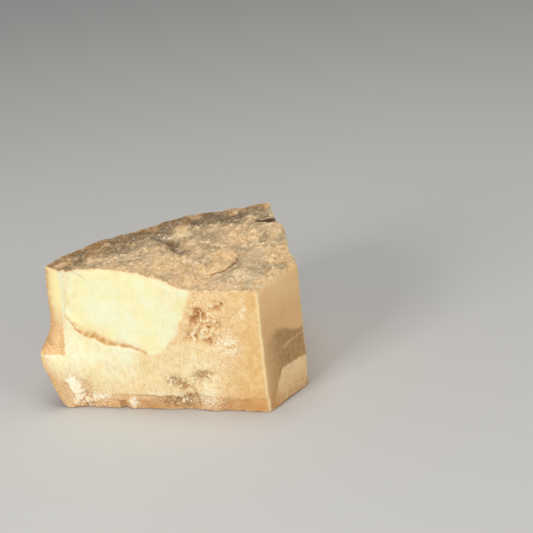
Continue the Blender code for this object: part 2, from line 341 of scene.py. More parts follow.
def front_side(x, z):
    """The split front: how far it lies behind its datum, and what its paste is like."""
    side = {}
    wander = 0.0003 * lumps(x / 0.0045, 4.4) + 0.0003 * lumps(x / 0.0021, 9.4)
    crack = np.interp(x, *zip(*CRACK_LINE)) + wander
    straight = FACET_FOOT[0] + (z - FACET_FOOT[1]) * FACET_LEAN
    facet = np.maximum(straight - x, 0.0) * tan(FACET_TURN)
    past = z - crack
    above = 1.0 - np.exp(-np.clip(past + 0.0002, 0.0, None) / CRACK_STEP)
    leaning = LEAN_RATE * np.maximum(LEAN_START - x, 0.0) * rise(*LEAN_HEIGHTS, z)
    depth = np.maximum(facet * above, leaning)
    for at_x, at_z, radius, deep in (*SIDE_HOLLOWS, BROAD_HOLLOW, *LOW_HOLLOWS, *FOOT_DENTS):
        depth += deep * bell(np.hypot(x - at_x, z - at_z), radius)
    pale_right = np.interp(z, *zip(*PALE_RIGHT)) + 0.0020 * many_lumps(x / 0.012, z / 0.012, 2.0)
    smooth = rise(-0.0012, 0.0010, past) * rise(-0.0015, 0.0035, pale_right - x)
    depth += 0.0010 * (1.0 - 0.7 * smooth) * rough(x, z, 0.022, 3.0)
    depth += 0.0006 * (rise(0.012, 0.0, z) * (1.0 + rough(x, 0.0, 0.012, 8.0)))

    # The crumbled patch right of the smooth facet, and the smaller ones low down
    holes, low_holes = hollowness(SIDE_HOLLOWS, x, z), hollowness(LOW_HOLLOWS, x, z)
    patch = as_share(patches(x, z, *CRUMBLED_PATCH))
    specks = as_share(patches(x, z, *SPECKLED))
    low_patch = as_share(patches(x, z, *LOW_PATCH))
    lump = as_share(patches(x, z, STANDING_LUMP))
    bend_x = x + 0.0014 * lumps(x / 0.005, z / 0.005, 5.0)
    bend_z = z + 0.0014 * lumps(x / 0.005, z / 0.005, 15.0)
    ragged = many_lumps(bend_x / 0.0054, bend_z / 0.0050, 1.0)
    fine = many_lumps(bend_x / 0.0024, bend_z / 0.0024, 2.0, 2)
    hole = rise(0.34, 0.95, holes + 0.40 * ragged + 0.26 * fine) * rise(0.03, 0.20, holes)
    nook = rise(0.25, 0.62, 0.55 * patch + 0.60 * ragged + 0.25 * fine - 0.12) * patch
    low_hole = rise(0.20, 0.62, 0.95 * low_holes + 0.75 * ragged + 0.60 * fine) * low_patch
    crumb = np.maximum(patch, low_patch) * rise(-0.02, -0.42, ragged + 0.4 * fine)
    depth = depth + 0.0021 * hole + 0.0014 * nook + 0.0020 * low_hole - 0.0007 * crumb
    socket = sockets(bend_x, bend_z, 0.0026, 0.0026, 2, (0.45, 0.75), (0.03, 0.25))
    web = rise(0.30, 0.06, np.abs(many_lumps(bend_x / 0.0042, bend_z / 0.0036, 33.0, 2)))
    depth = depth + specks * (0.0007 * socket - 0.0004 * web) - 0.0007 * lump

    # Chips along the bottom edge under a thin ridge, and torn white fibres at its left
    low_edge = BAND_HEIGHT + 0.0016 * lumps(x / 0.013, 3.3) + 0.0007 * lumps(x / 0.004, 5.3)
    bottom = rise(0.0012, -0.0016, z - low_edge) * rise(-0.188, -0.176, x)
    tilt = many_lumps(x / 0.015, z / 0.009, 12.0, 2)
    depth += bottom * (0.0012 + 0.0009 * tilt)
    shade, chip_chalk = 0.0, 0.0
    for at_x, at_z, wide, high, turn, sunk, tone in LOW_CHIPS:
        along, across = seen_from(x, z, at_x, at_z, turn)
        chip = np.exp(-np.maximum(np.abs(along / wide), np.abs(across / high)) ** 4 * 1.2)
        chip = as_share(chip * 1.15 + 0.25 * fine * chip)
        depth += sunk * chip
        shade += chip * max(-tone, 0.0)
        chip_chalk += chip * max(tone, 0.0)
    for at_x, at_z in DARK_NICKS:
        shade += 0.6 * spot(x, z, at_x, at_z, 0.0036, 0.0042) * rise(-0.4, 0.2, fine)
    loose = as_share(patches(x, z, *LOOSE_FOOT))
    torn = as_share(patches(x, z, *TORN_FOOT))
    fibre = 1.0 - np.abs(many_lumps((x + 0.5 * z) / 0.0032, (z - 0.5 * x) / 0.0085, 4.0))
    fluff = patches(x, z, *WHITE_TUFTS)
    tuft = many_lumps((x + 0.4 * z) / 0.0026, (z - 0.4 * x) / 0.0042, 21.0, 2)
    fluff = rise(0.42, 0.80, fluff + 0.50 * tuft) * rise(0.05, 0.30, fluff)
    depth = depth + torn * (0.0016 * (1.0 - fibre) - 0.0004) - 0.0009 * fluff
    depth += loose * 0.0010 * socket
    ridge = bell(z - low_edge - 0.0008, 0.0009) * rise(-0.135, -0.118, x) * rise(-0.078, -0.086, x)
    depth -= 0.0006 * ridge

    # Even grain: nearly none on the smooth facet, short upright marks low down
    plain = rise(-0.030, -0.016, x) * (1.0 - specks)
    grain = (1.0 - smooth) * (1.0 - 0.7 * plain)
    upright = many_lumps(x / 0.0026, z / 0.0075, 6.0, 2)
    even = many_lumps(x / 0.003, z / 0.003, 8.0, 2)
    depth += grain * (0.00012 * upright + 0.00012 * even)
    depth += 0.0003 * smooth * many_lumps(x / 0.020, z / 0.012, 1.0, 2)
    reached, offset = along_line(HAIRLINE, x, z)
    hairline = (bell(offset, 0.0012) * rise(1.0, 0.6, reached)
                * rise(-0.5, 0.2, lumps(x / 0.004, z / 0.004, 3.0)))
    depth += 0.0004 * hairline
    pale_spots = rise(0.50, 0.85, many_lumps(x / 0.0065, z / 0.0075, 44.0, 2)) * smooth
    blotch = rise(-0.1, 0.6, lumps(x / 0.005, z / 0.014, 8.0))
    blotch = spot(x, z, -0.178, 0.112, 0.006, 0.024) * blotch

    # Painted shade along the crack, and how fresh, dark or chalky each area is
    lower = rise(0.020, 0.054, z + 0.004 * many_lumps(x / 0.03, z / 0.03, 3.0))
    left = rise(-0.100, -0.125, x)
    middle = rise(-0.036, -0.060, x) * rise(0.070, 0.060, z)
    crack_shade_reach = (0.0014 + 0.0020 * (bell(x + 0.1625, 0.007) + bell(x + 0.1495, 0.0065))
                   + 0.0010 * bell(x + 0.133, 0.006))
    patchy = rise(-0.45, 0.25, many_lumps(x / 0.0050, z / 0.0036, 31.0, 2))
    crack_shade = np.exp(-np.clip(past - 0.0010, 0.0, None) / crack_shade_reach) * rise(-0.0006, 0.0008, past)
    crack_shade = crack_shade * rise(-0.1055, -0.1085, x) * (0.55 + 0.55 * patchy)
    reached, offset = along_line(UPPER_CRACK_SHADE, x, z)
    crack_shade = np.maximum(crack_shade, 0.40 * bell(offset, 0.0009) * rise(1.0, 0.7, reached))
    # a painted highlight along the crack's lower lip
    lip_highlight = bell(past + 0.0016, 0.0010) * rise(-0.112, -0.125, x)
    side["depth"] = np.maximum(depth, -0.7 * FRONT_BULGE)
    # the pale front, on the facet and low at the left, is partly fresh paste and partly a painted
    # pool of light
    pale = smooth * (1.0 - 0.12 * rise(-0.100, -0.075, x))
    fresh = np.maximum(pale, np.maximum((0.44 + 0.50 * lower) * left, 0.34 * middle))
    side["fresh"] = as_share(fresh * (1.0 - 0.55 * bottom) * (1.0 - 0.7 * hole)
                             + bottom * 0.28 * rise(-0.2, 0.4, tilt) + 0.35 * lump
                             + 0.5 * fluff + 0.25 * crumb - 0.15 * blotch - 0.5 * shade)
    # in the hollows and sockets the brown of the pit finish, darkest at the hollows' cores, is
    # painted shade over the real dents
    core = rise(0.75, 1.25, holes + 0.30 * fine)
    side["pit"] = as_share(0.50 * hole + 0.45 * hole * core + 0.55 * nook + low_hole
                           + bottom * (0.20 + 0.40 * rise(0.0, 0.6, tilt)) + 0.85 * shade
                           + 0.35 * loose * socket
                           + torn * (0.34 + 0.80 * (1.0 - fibre)) * (1.0 - fluff)
                           + 0.10 * specks * socket)
    side["chalk"] = as_share(0.50 * crumb + 1.3 * fluff + 0.75 * loose + 0.20 * torn
                             + specks * (0.35 + 0.9 * web) + 0.55 * lump + 0.8 * ridge
                             + chip_chalk + 0.22 * (1.0 - smooth) * (1.0 - plain) + 0.5 * lip_highlight
                             + 0.10 * smooth + 0.5 * pale_spots)
    side["olive"] = as_share(0.85 * spot(x, z, -0.079, 0.0075, 0.017, 0.0065)
                             + 0.8 * low_hole + 0.4 * shade)
    side["grit"] = as_share(0.35 * patch + loose + torn + 0.6 * low_patch + 0.8 * specks)
    side["flaky"] = as_share(0.9 * fluff + 0.35 * crumb + 0.3 * loose)
    # painted shade along the crack and the hairline
    side["seam"] = as_share(crack_shade + 0.35 * hairline)
    side["even"] = np.maximum(smooth, 0.6 * plain)
    side["combed"] = as_share(grain - bottom - patch - torn) * rise(-0.026, -0.046, x)
    return side


# The knife-cut facet. Places on it are (distance from the front right corner, z).
NICK = ((0.0350, 0.0805), (0.0375, 0.0812), (0.0395, 0.0838))
SCRATCH = ((0.026, 0.0500), (0.0437, 0.0519), (0.0640, 0.0526))
SHORT_SCRATCH = ((0.050, 0.0608), (0.0595, 0.0600), (0.0650, 0.0600))
DULL_TOP = ((0.0, 0.0620), (0.0083, 0.0655), (0.0145, 0.0686), (0.0246, 0.0698), (0.0360, 0.0666),
            (0.0474, 0.0614), (0.0610, 0.0582), (0.0700, 0.0570))
DULL_FOOT = ((0.0, 0.0380), (0.0168, 0.0367), (0.0327, 0.0353), (0.0470, 0.0347), (0.0634, 0.0327))


def knife_side(along, z):
    """The knife-cut facet: smooth, with a nick, drag marks and a dull patch low down."""
    nick = bell(along_line(NICK, along, z)[1], 0.0011)
    dent = bell(np.hypot(along - 0.038, z - 0.082), 0.0055)
    drag = lumps((along + 1.9 * z) / 0.0035, (z - 0.5 * along) / 0.060, 3.0)
    edge = np.interp(along, *zip(*DULL_TOP)) + 0.0010 * many_lumps(along / 0.008, z / 0.008, 2.0)
    foot = np.interp(along, *zip(*DULL_FOOT)) + 0.0012 * many_lumps(along / 0.006, z / 0.006, 4.0)
    foot = foot - 0.0030 - 0.030 * rise(0.030, 0.004, along)
    soft = 0.0026 + 0.006 * rise(0.034, 0.010, along)
    dull = (rise(soft, -soft, z - edge) * rise(-0.0010, 0.0010, z - foot)
            * (0.45 * rise(0.000, 0.010, along) + 0.55 * rise(0.006, 0.030, along)))
    dull = dull * (0.86 + 0.20 * many_lumps(along / 0.0040, z / 0.0060, 14.0, 2))
    fade = 0.0010 + 0.0070 * rise(0.040, 0.016, along)
    broken = rise(fade, -fade, z - foot) * rise(0.010, 0.022, along)
    socket = sockets(along, z, 0.0060, 0.0052, 5)
    reached, offset = along_line(SCRATCH, along, z)
    light = bell(offset, 0.0007) * rise(0.0, 0.2, reached)
    light = np.maximum(light, 0.8 * bell(along_line(SHORT_SCRATCH, along, z)[1], 0.0007))
    return {
        "depth": (0.0007 * nick + 0.0009 * dent + 0.00008 * drag + 0.0003 * dull + 0.0003 * light
                  + broken * (0.0006 * socket + 0.0004 * many_lumps(along / 0.006, z / 0.006))
                  + 0.00025 * many_lumps(along / 0.030, z / 0.030, 7.0)),
        "fresh": 0.10 + 0.30 * broken + 0.35 * dent + 0.6 * light,
        "pit": (0.22 * nick + 0.12 * broken * socket
                + 0.34 * rise(0.112, 0.076, z) * (1.0 - broken)),
        "chalk": 0.03 + 0.20 * broken,
        "olive": as_share(dull * (1.0 - 0.8 * light)),
        "grit": 0.25 * broken,
        "even": 1.0 - 0.6 * broken,
    }


def far_side(along, z):
    """The broken far side: rough paste in steps, never cut."""
    away = rise(0.0, 0.030, along)
    proud = bell(along - 0.103, 0.024) * rise(0.119, 0.111, along)
    hollowed = 0.0012 * bell(along - 0.032, 0.022)
    bay = 0.0050 * bell(along - 0.085, 0.040) * bell(z - 0.050, 0.035)
    waves = 0.0022 * rough(along, z, 0.055, 11.0) + 0.0009 * rough(along, z, 0.018, 13.0)
    depth = away * (bay + hollowed + waves - 0.0056 * proud * rise(0.070, 0.110, z))
    flow = many_lumps(along / 0.034, z / 0.024, 31.0)
    socket = sockets(along, z, 0.0052, 0.0044, 7)
    torn = rise(-0.1, 0.5, many_lumps(along / 0.030, z / 0.030, 41.0))
    calm = 0.25 + 0.75 * away
    fine = many_lumps(along / 0.0036, z / 0.0042, 19.0)
    return {
        "depth": depth + calm * (0.0018 * (0.7 + terraces(flow, 3.5)) + 0.0010 * socket * torn
                                 + 0.0002 * many_lumps(along / 0.003, z / 0.0045, 9.0)),
        "fresh": as_share(0.10 + 0.12 * flow + 0.26 * rise(0.1, 0.9, fine)),
        "pit": calm * as_share(0.35 * socket * torn + 0.30 * rise(0.2, 0.9, -fine)
                               + 0.12 * rise(0.0, 0.8, -flow)),
        "chalk": 0.20 + 0.30 * torn * rise(-0.2, 0.6, fine),
        "grit": 0.15 + 0.5 * torn * calm,
        "flaky": 0.35 * torn * calm,
    }


# The snapped corner and the ledge that it curls out to
LEDGE_HEIGHT, LEDGE_FLARE, LEDGE_TOP = 0.0455, 0.0360, 0.0505
LEDGE_REACH, LEDGE_POWER, LEDGE_LIMIT = 0.0420, 3.4, 1.25
CURL_ENDS = (0.0120, 0.0340)  # the curl is whole before the first and gone past the second
CORNER_SWELL = 0.0018
CORNER_TWIST, TWIST_TOP = 0.45, 0.0950
STRIP_BORDER = (              # its right border on the front, as (z, x)
    (0.0525, -0.1868), (0.0600, -0.1879), (0.0712, -0.1896), (0.0880, -0.1915), (0.1189, -0.1928),
)


def corner_side(along, z):
    """The snapped-off left corner, which curls out to a ledge."""
    flare = np.clip((LEDGE_HEIGHT + LEDGE_FLARE - z) / LEDGE_FLARE, 0.0, LEDGE_LIMIT)
    curl = LEDGE_REACH * flare ** LEDGE_POWER * rise(*reversed(CURL_ENDS), along)
    turned = np.clip((TWIST_TOP - z) / (TWIST_TOP - LEDGE_TOP), 0.0, 1.2)
    twist = CORNER_TWIST * np.maximum(along, 0.0) * turned
    swell = CORNER_SWELL * (rise(0.118, 0.092, z) + 0.5 * rise(0.080, 0.070, z))
    low = rise(0.088, 0.070, z + 0.004 * many_lumps(along / 0.012, z / 0.012))
    socket = sockets(along, z, 0.0032, 0.0038, 9, seam_ends=(0.03, 0.35))
    upright = many_lumps(along / 0.0030, z / 0.016, 6.0)
    return {
        "depth": (0.0006 * rough(along, z, 0.016, 17.0) - swell - curl - twist
                  + 0.0002 + 0.00012 * upright
                  + low * (0.0005 * socket + 0.0002 * many_lumps(along / 0.0032, z / 0.0032))),
        "fresh": 0.40 - 0.38 * low + 0.55 * rise(0.0515, 0.0500, z),
        "pit": as_share(low * rise(0.0495, 0.0515, z)
                        * (0.14 + 0.34 * socket + 0.22 * rise(0.0, 0.7, upright))),
        "chalk": 0.10 + 0.12 * low + 0.9 * bell(z - 0.0502, 0.0012),
        "grit": 0.15 * low,
        "even": 0.6 * (1.0 - low),
    }


# The split top. Places on it are (x, y).
TOP_DIP, TOP_DIP_LEFT, TOP_DIP_DEPTH = 0.0065, (-0.0900, -0.0620), 0.0620
TOP_SWELLINGS = (             # x, y, half length, half width, turn, height
    (-0.142, 0.008, 0.052, 0.036, radians(4), 0.0085),
    (-0.203, 0.062, 0.050, 0.022, radians(70), 0.0024),
    (-0.072, 0.064, 0.034, 0.024, radians(35), 0.0058),
    (-0.098, 0.048, 0.034, 0.018, radians(20), 0.0026),
    (-0.112, 0.108, 0.050, 0.010, radians(126), -0.0046),
    (-0.030, 0.086, 0.022, 0.030, radians(20), -0.0022),
    (-0.075, 0.152, 0.055, 0.022, radians(160), 0.0022),
    (-0.040, 0.213, 0.022, 0.016, radians(163), 0.0030),
    (-0.155, 0.147, 0.013, 0.013, 0.0, -0.0014),
)
FLAKE_LIFT = 0.0016           # of the shell-shaped flake in the middle
SHELL_RIM = ((-0.0570, 0.0290), (-0.0529, 0.0323), (-0.0474, 0.0360), (-0.0423, 0.0393),
             (-0.0367, 0.0484), (-0.0349, 0.0613), (-0.0363, 0.0728), (-0.0438, 0.0832),
             (-0.0546, 0.0904), (-0.0656, 0.0830))
STEP_LINE = ((-0.1270, 0.1246), (-0.1206, 0.1186), (-0.1099, 0.0989), (-0.0941, 0.0684),
             (-0.0858, 0.0569), (-0.0786, 0.0518), (-0.0714, 0.0500))
GAP_ENDS = ((-0.060, 0.1640), (-0.004, 0.1675))
GAP_DEPTH = 0.0100
GAP_WIDTH = 0.0075            # half of it, where it opens past the far side
TOP_PATCHES = (               # x, y, half length, half width, turn, tone, warmth, chalk
    (-0.088, 0.1580, 0.042, 0.0125, 0.0, -0.40, -0.25, 0.0),
    (-0.162, 0.1220, 0.026, 0.0130, radians(50), -0.22, -0.10, 0.0),
    (-0.100, 0.1150, 0.050, 0.0300, 0.0, -0.06, -0.05, 0.0),
    (-0.088, 0.0760, 0.015, 0.0120, 0.0, -0.28, -0.10, 0.0),
    (-0.112, 0.1080, 0.018, 0.0100, radians(-55), -0.30, -0.10, 0.0),
    (-0.118, 0.1275, 0.022, 0.0055, 0.0, 0.04, -0.80, 0.8),
    (-0.028, 0.1480, 0.015, 0.0110, 0.0, 0.24, 0.20, 0.3),
    (-0.013, 0.1340, 0.008, 0.0120, 0.0, 0.16, 0.30, 0.2),
    (-0.0315, 0.1015, 0.0035, 0.0040, 0.0, 0.50, 0.00, 0.6),
    (-0.0220, 0.1045, 0.0040, 0.0030, 0.0, 0.40, -0.30, 0.5),
    (-0.0190, 0.1325, 0.0036, 0.0030, 0.0, 0.50, 0.00, 0.6),
    (-0.0820, 0.1025, 0.0045, 0.0060, 0.0, 0.30, 0.20, 0.1),
    (-0.0755, 0.1040, 0.0028, 0.0050, 0.0, 0.26, 0.20, 0.1),
    (-0.0488, 0.1060, 0.0040, 0.0080, 0.0, 0.22, 0.20, 0.1),
    (-0.0780, 0.1325, 0.0060, 0.0035, 0.0, 0.26, 0.10, 0.2),
    (-0.0670, 0.1285, 0.0045, 0.0035, 0.0, 0.22, 0.10, 0.1),
    (-0.0210, 0.0740, 0.0085, 0.0220, 0.0, 0.00, -0.90, 0.0),
    (0.0040, 0.0720, 0.0100, 0.0220, 0.0, 0.06, 0.90, 0.0),
    (0.0150, 0.0530, 0.0060, 0.0100, 0.0, 0.12, 0.80, 0.0),
    (-0.0200, 0.0320, 0.0130, 0.0085, 0.0, 0.20, -0.10, 1.0),
    (-0.0250, 0.0090, 0.0240, 0.0045, 0.0, 0.18, 0.15, 0.7),
    (-0.0350, 0.0250, 0.0090, 0.0080, 0.0, -0.16, -0.80, 0.2),
    (-0.0900, 0.0280, 0.0300, 0.0140, 0.0, 0.12, 0.55, 0.2),
    (-0.1350, 0.0600, 0.0350, 0.0250, 0.0, 0.08, 0.00, 0.3),
    (-0.0600, 0.0200, 0.0140, 0.0070, 0.0, 0.04, 0.60, 0.1),
    (-0.1800, 0.0720, 0.0200, 0.0160, radians(40), -0.12, 0.20, 0.1),
    (-0.0550, 0.1920, 0.0220, 0.0090, radians(-20), 0.34, 0.10, 0.2),
    (-0.0400, 0.1970, 0.0040, 0.0150, radians(20), 0.24, 0.30, 0.3),
)


def top_side(x, y):
    """The split top: height over the resting face, in flakes round a shell-shaped break."""
    side = {}
    height = TOP_HEIGHT - TOP_DIP * rise(*TOP_DIP_LEFT, x) * bell(y, TOP_DIP_DEPTH)
    for *swelling, lift in TOP_SWELLINGS:
        height += lift * spot(x, y, *swelling)
    stray_x = x + 0.0009 * many_lumps(x / 0.006, y / 0.006, 3.0)
    stray_y = y + 0.0009 * many_lumps(x / 0.006, y / 0.006, 13.0)
    reached, offset = along_line(SHELL_RIM, stray_x, stray_y)
    on_rim = rise(0.0, 0.08, reached) * rise(1.0, 0.75, reached)
    flake = rise(0.0004, -0.0006, offset) * bell(np.minimum(offset, 0.0), 0.022)
    height += FLAKE_LIFT * on_rim * flake
    parted = rise(-0.75, -0.10, lumps(x / 0.0050, y / 0.0050, 41.0))
    crack = on_rim * bell(offset - 0.0003, 0.00055) * rise(0.58, 0.48, reached) * parted
    rim_light = bell(offset + 0.0030, 0.0024) * rise(0.50, 0.62, reached) * on_rim
    reached, past = along_line(STEP_LINE, stray_x, stray_y)
    on_step = rise(0.0, 0.15, reached) * rise(1.0, 0.92, reached)
    behind = rise(0.0004, -0.0006, past) * bell(np.minimum(past, 0.0), 0.0100) * on_step
    height -= 0.0009 * behind
    line = on_step * bell(past, 0.0007)
    share, offset = beside(*GAP_ENDS, stray_x, stray_y)
    opening = GAP_WIDTH * (0.20 + 0.80 * rise(0.10, 0.95, share))
    gap = rise(0.05, 0.30, share) * np.exp(-np.abs(offset / opening) ** 4)
    height = height - GAP_DEPTH * gap * (0.35 + 0.65 * rise(0.2, 0.8, share)) - 0.0014 * crack
    calm_edge = 0.35 + 0.65 * rise(0.0, 0.040, y)
    height += 0.0018 * calm_edge * rough(x, y, 0.034, 21.0)
    height += 0.0008 * calm_edge * rough(x, y, 0.013, 25.0)

    # Crumbly grain all over, in faint flakes round the swelling and along the rind
    from_x, from_y = (x + 0.070) / 1.25, y - 0.062
    out = np.hypot(from_x, from_y)
    swirl = 0.0060 * many_lumps(x / 0.022, y / 0.022, 6.0)
    shell = many_lumps((out + swirl) / 0.0085, 2.2 * from_x / (out + 0.004),
                       2.2 * from_y / (out + 0.004))
    inward = wheel_radius(TOP_HEIGHT) - np.hypot(x - WHEEL_CENTRE[0], y - WHEEL_CENTRE[1])
    wide = many_lumps(stray_x / 0.020, stray_y / 0.034, 27.0, 2)
    coarse = many_lumps(stray_x / 0.0085, stray_y / 0.0150, 7.0)
    grain = many_lumps(stray_x / 0.0040, stray_y / 0.0072, 5.0)
    fine = many_lumps(stray_x / 0.0018, stray_y / 0.0032, 15.0, 2)
    flow = 0.45 * shell * (1.0 - rise(0.060, 0.025, inward)) + 0.65 * coarse
    smooth = as_share(1.3 * spot(x, y, -0.021, 0.072, 0.0080, 0.020))
    tone, warm, white = 0.67, 0.0, 0.0
    ragged_x, ragged_y = x + 0.0030 * wide, y + 0.0045 * coarse
    for *patch, lighter, warmer, whiter in TOP_PATCHES:
        patch = spot(ragged_x, ragged_y, *patch)
        tone, warm, white = tone + lighter * patch, warm + warmer * patch, white + whiter * patch
    white = as_share(white)
    _, seam, draw = crumbs(stray_x / 0.0042, stray_y / 0.0070, 3)
    socket = sockets(stray_x, stray_y, 0.0026, 0.0044, 4, (0.45, 0.85), (0.03, 0.35))
    flake_top = rise(0.25, 0.60, coarse + 0.35 * grain)
    rougher = (1.0 - 0.85 * smooth) * (0.55 + 0.45 * calm_edge)
    dark_spots = rise(0.55, 0.90, draw) * rise(0.046, 0.018, inward)
    dark_spots = dark_spots * rise(-0.110, -0.165, x) * rise(0.02, 0.30, seam)
    hold = rise(0.0010, 0.0060, inward)
    relief = rougher * (0.00055 * (0.6 - flow) - 0.00045 * flake_top
                        + 0.00050 * socket * (0.5 + white) - 0.00034 * grain - 0.00022 * fine)
    relief += 0.0007 * dark_spots
    side["depth"] = height - hold * np.maximum(relief, -0.0009)

    # Dark along the rind, paler in the middle and on the lifted flake, with a painted highlight
    # along the flake's rim and painted shade on and behind the step line
    darker = 0.52 + 0.24 * rise(-0.130, -0.085, x) * rise(-0.045, -0.065, x)
    tone = tone - darker * rise(0.054, 0.020, inward + 0.008 * wide) - 0.26 * behind - 0.30 * line
    tone = tone + 0.10 * flake * on_rim + 0.30 * rim_light
    bright = 0.32 * wide + 0.24 * flake_top + 0.17 * grain + 0.08 * fine - 0.06
    side["fresh"] = as_share(tone + rougher * bright)
    side["warm"] = (0.22 - 0.22 * rise(0.070, 0.030, inward) + warm + 0.7 * flake * on_rim
                    + 0.5 * wide + 0.3 * coarse)
    side["pit"] = as_share(rougher * (0.16 * socket + 0.20 * rise(0.25, 0.8, -grain - 0.6 * fine))
                           + 0.45 * dark_spots
                           + 0.8 * spot(ragged_x, y, -0.0335, 0.0765, 0.0035, 0.0022))
    side["chalk"] = as_share(rougher * rise(0.0, 0.8, grain + 0.8 * fine) * (0.36 + 0.9 * white)
                             + 0.15 * white)
    side["olive"] = as_share(0.55 * dark_spots)
    side["grit"] = as_share(0.14 + 0.8 * white - smooth)
    side["flaky"] = as_share((1.0 - smooth) * (0.22 + 0.35 * flake_top + 0.30 * white)) * hold
    # painted shade in the rim crack
    side["seam"] = as_share(0.60 * crack)
    side["even"] = smooth
    # painted shade in the gap and the rim crack
    side["gap_and_crack_shade"] = np.maximum(rise(0.002, 0.030, gap) * (0.45 + 0.55 * rise(0.15, 0.40, share)),
                              0.80 * crack)
    return side


def rind_marks(u, v, scuff_size, scuff_layer, pock_size, pock_layer, pock_reach, drawn):
    """Rubbed streaks and small round pocks of the rind."""
    scuffs = rise(0.35, 0.8, many_lumps(u / scuff_size[0], v / scuff_size[1], scuff_layer))
    near, _, draw = crumbs(u / pock_size, v / pock_size, pock_layer)
    return scuffs, rise(pock_reach, 0.04, near) * rise(*drawn, draw)


def wall_side(along, z):
    """The round wall's natural rind: matt, dry, faintly dented."""
    scuffs, pock = rind_marks(along, z, (0.020, 0.007), 51.0, 0.0090, 12, 0.16, (0.72, 0.76))
    depth = (0.0003 + 0.00035 * many_lumps(along / 0.028, z / 0.022, 52.0)
             + 0.0006 * pock + 0.00012 * scuffs
             - 0.0017 * bell(along - 0.026, 0.040) * rise(0.045, 0.062, z) * rise(0.128, 0.108, z))
    return {"depth": depth, "fresh": 0.5 * scuffs, "pit": 0.6 * pock}


def base_side(x, y):
    """The wheel's flat face, which the chunk rests on: rind with the print of the board."""
    scuffs, pock = rind_marks(x, y, (0.018, 0.010), 61.0, 0.011, 14, 0.15, (0.66, 0.70))
    depth = 0.0004 * rise(0.1, 0.9, many_lumps(x / 0.030, y / 0.030, 62.0)) + 0.0005 * pock
    return {"depth": depth, "fresh": 0.5 * scuffs, "pit": 0.6 * pock}


def sheet(side_at, u_ends, v_ends):
    """One side's relief and finish, worked out on an even grid of its own."""
    u = np.arange(u_ends[0], u_ends[1] + SHEET_CELL, SHEET_CELL)
    v = np.arange(v_ends[0], v_ends[1] + SHEET_CELL, SHEET_CELL)
    whole = side_at(u[:, None], v[None, :])
    return {name: np.broadcast_to(value, (len(u), len(v))) for name, value in whole.items()}, u, v


def read(made, name, u, v):
    """What a sheet says at any points, between its grid points too."""
    values, us, vs = made
    if name not in values:
        return np.zeros(u.shape)
    i = np.clip((u - us[0]) / SHEET_CELL, 0, len(us) - 1.001)
    j = np.clip((v - vs[0]) / SHEET_CELL, 0, len(vs) - 1.001)
    a, b = i.astype(np.int32), j.astype(np.int32)
    p, q = i - a, j - b
    field = values[name]
    return (field[a, b] * (1 - p) * (1 - q) + field[a + 1, b] * p * (1 - q)
            + field[a, b + 1] * (1 - p) * q + field[a + 1, b + 1] * p * q)


RIGHT, REAR, CEILING = KNIFE_END[0] + 0.002, FAR_END[1] + 0.003, 0.1340
LEFT = WHEEL_CENTRE[0] - WHEEL_RADIUS - 0.004
KNIFE_RUN, KNIFE_OUT = line_frame((0.0, 0.0), KNIFE_END)
FAR_RUN, FAR_OUT = line_frame(KNIFE_END, FAR_END)
CORNER_RUN, CORNER_OUT = line_frame(CORNER_REAR, CORNER_FRONT)
UPRIGHT, ACROSS, BACKWARDS = (-0.003, CEILING), (LEFT, RIGHT), (-0.003, REAR)
sheets = {
    "front": sheet(front_side, ACROSS, UPRIGHT),
    "knife": sheet(knife_side, (-0.010, 0.080), UPRIGHT),
    "far": sheet(far_side, (-0.020, 0.190), UPRIGHT),
    "corner": sheet(corner_side, (-0.030, 0.080), UPRIGHT),
    "top": sheet(top_side, ACROSS, BACKWARDS),
    "wall": sheet(wall_side, (0.0, 0.420), UPRIGHT),
    "base": sheet(base_side, ACROSS, BACKWARDS),
}


def spots_on_sides(x, y, z):
    """Where a point lies on each side's own sheet."""
    return {
        "front": (x, z),
        "knife": (reach_from((0.0, 0.0), KNIFE_RUN, x, y), z),
        "far": (reach_from(KNIFE_END, FAR_RUN, x, y), z),
        "corner": (reach_from(CORNER_REAR, CORNER_RUN, x, y), z),
        "top": (x, y),
        "wall": (np.arctan2(y - WHEEL_CENTRE[1], WHEEL_CENTRE[0] - x) * WHEEL_RADIUS, z),
        "base": (x, y),
    }


def rounder(first, second, radius):
    """The larger of two distances, with the edge between them rounded off."""
    near = np.clip(1.0 - np.abs(first - second) / radius, 0.0, None)
    return np.maximum(first, second) + near * near * radius / 4.0


def outside(x, y, z):
    """How far a point lies outside each side of the chunk, negative inside."""
    deep = {name: read(sheets[name], "depth", *at) for name, at in spots_on_sides(x, y, z).items()}
    reach = np.hypot(x - WHEEL_CENTRE[0], y - WHEEL_CENTRE[1])
    corner = reach_from(CORNER_REAR, CORNER_OUT, x, y, deep["corner"])
    return {
        "front": deep["front"] - y,
        "knife": reach_from((0.0, 0.0), KNIFE_OUT, x, y, deep["knife"]),
        "far": reach_from(KNIFE_END, FAR_OUT, x, y, deep["far"]),
        "corner": -rounder(-corner, LEDGE_TOP - z, 0.0010),
        "top": z - deep["top"],
        "wall": deep["wall"] + reach - wheel_radius(z),
        "base": deep["base"] - z,
    }


EDGE_ROUND = {"knife": 0.0026, "far": 0.0014, "corner": 0.0008, "top": 0.0012, "wall": 0.0008,
              "base": 0.0010}
SOFT_RIM = 0.0050             # extra rounding of the rim between the knife cut and the top


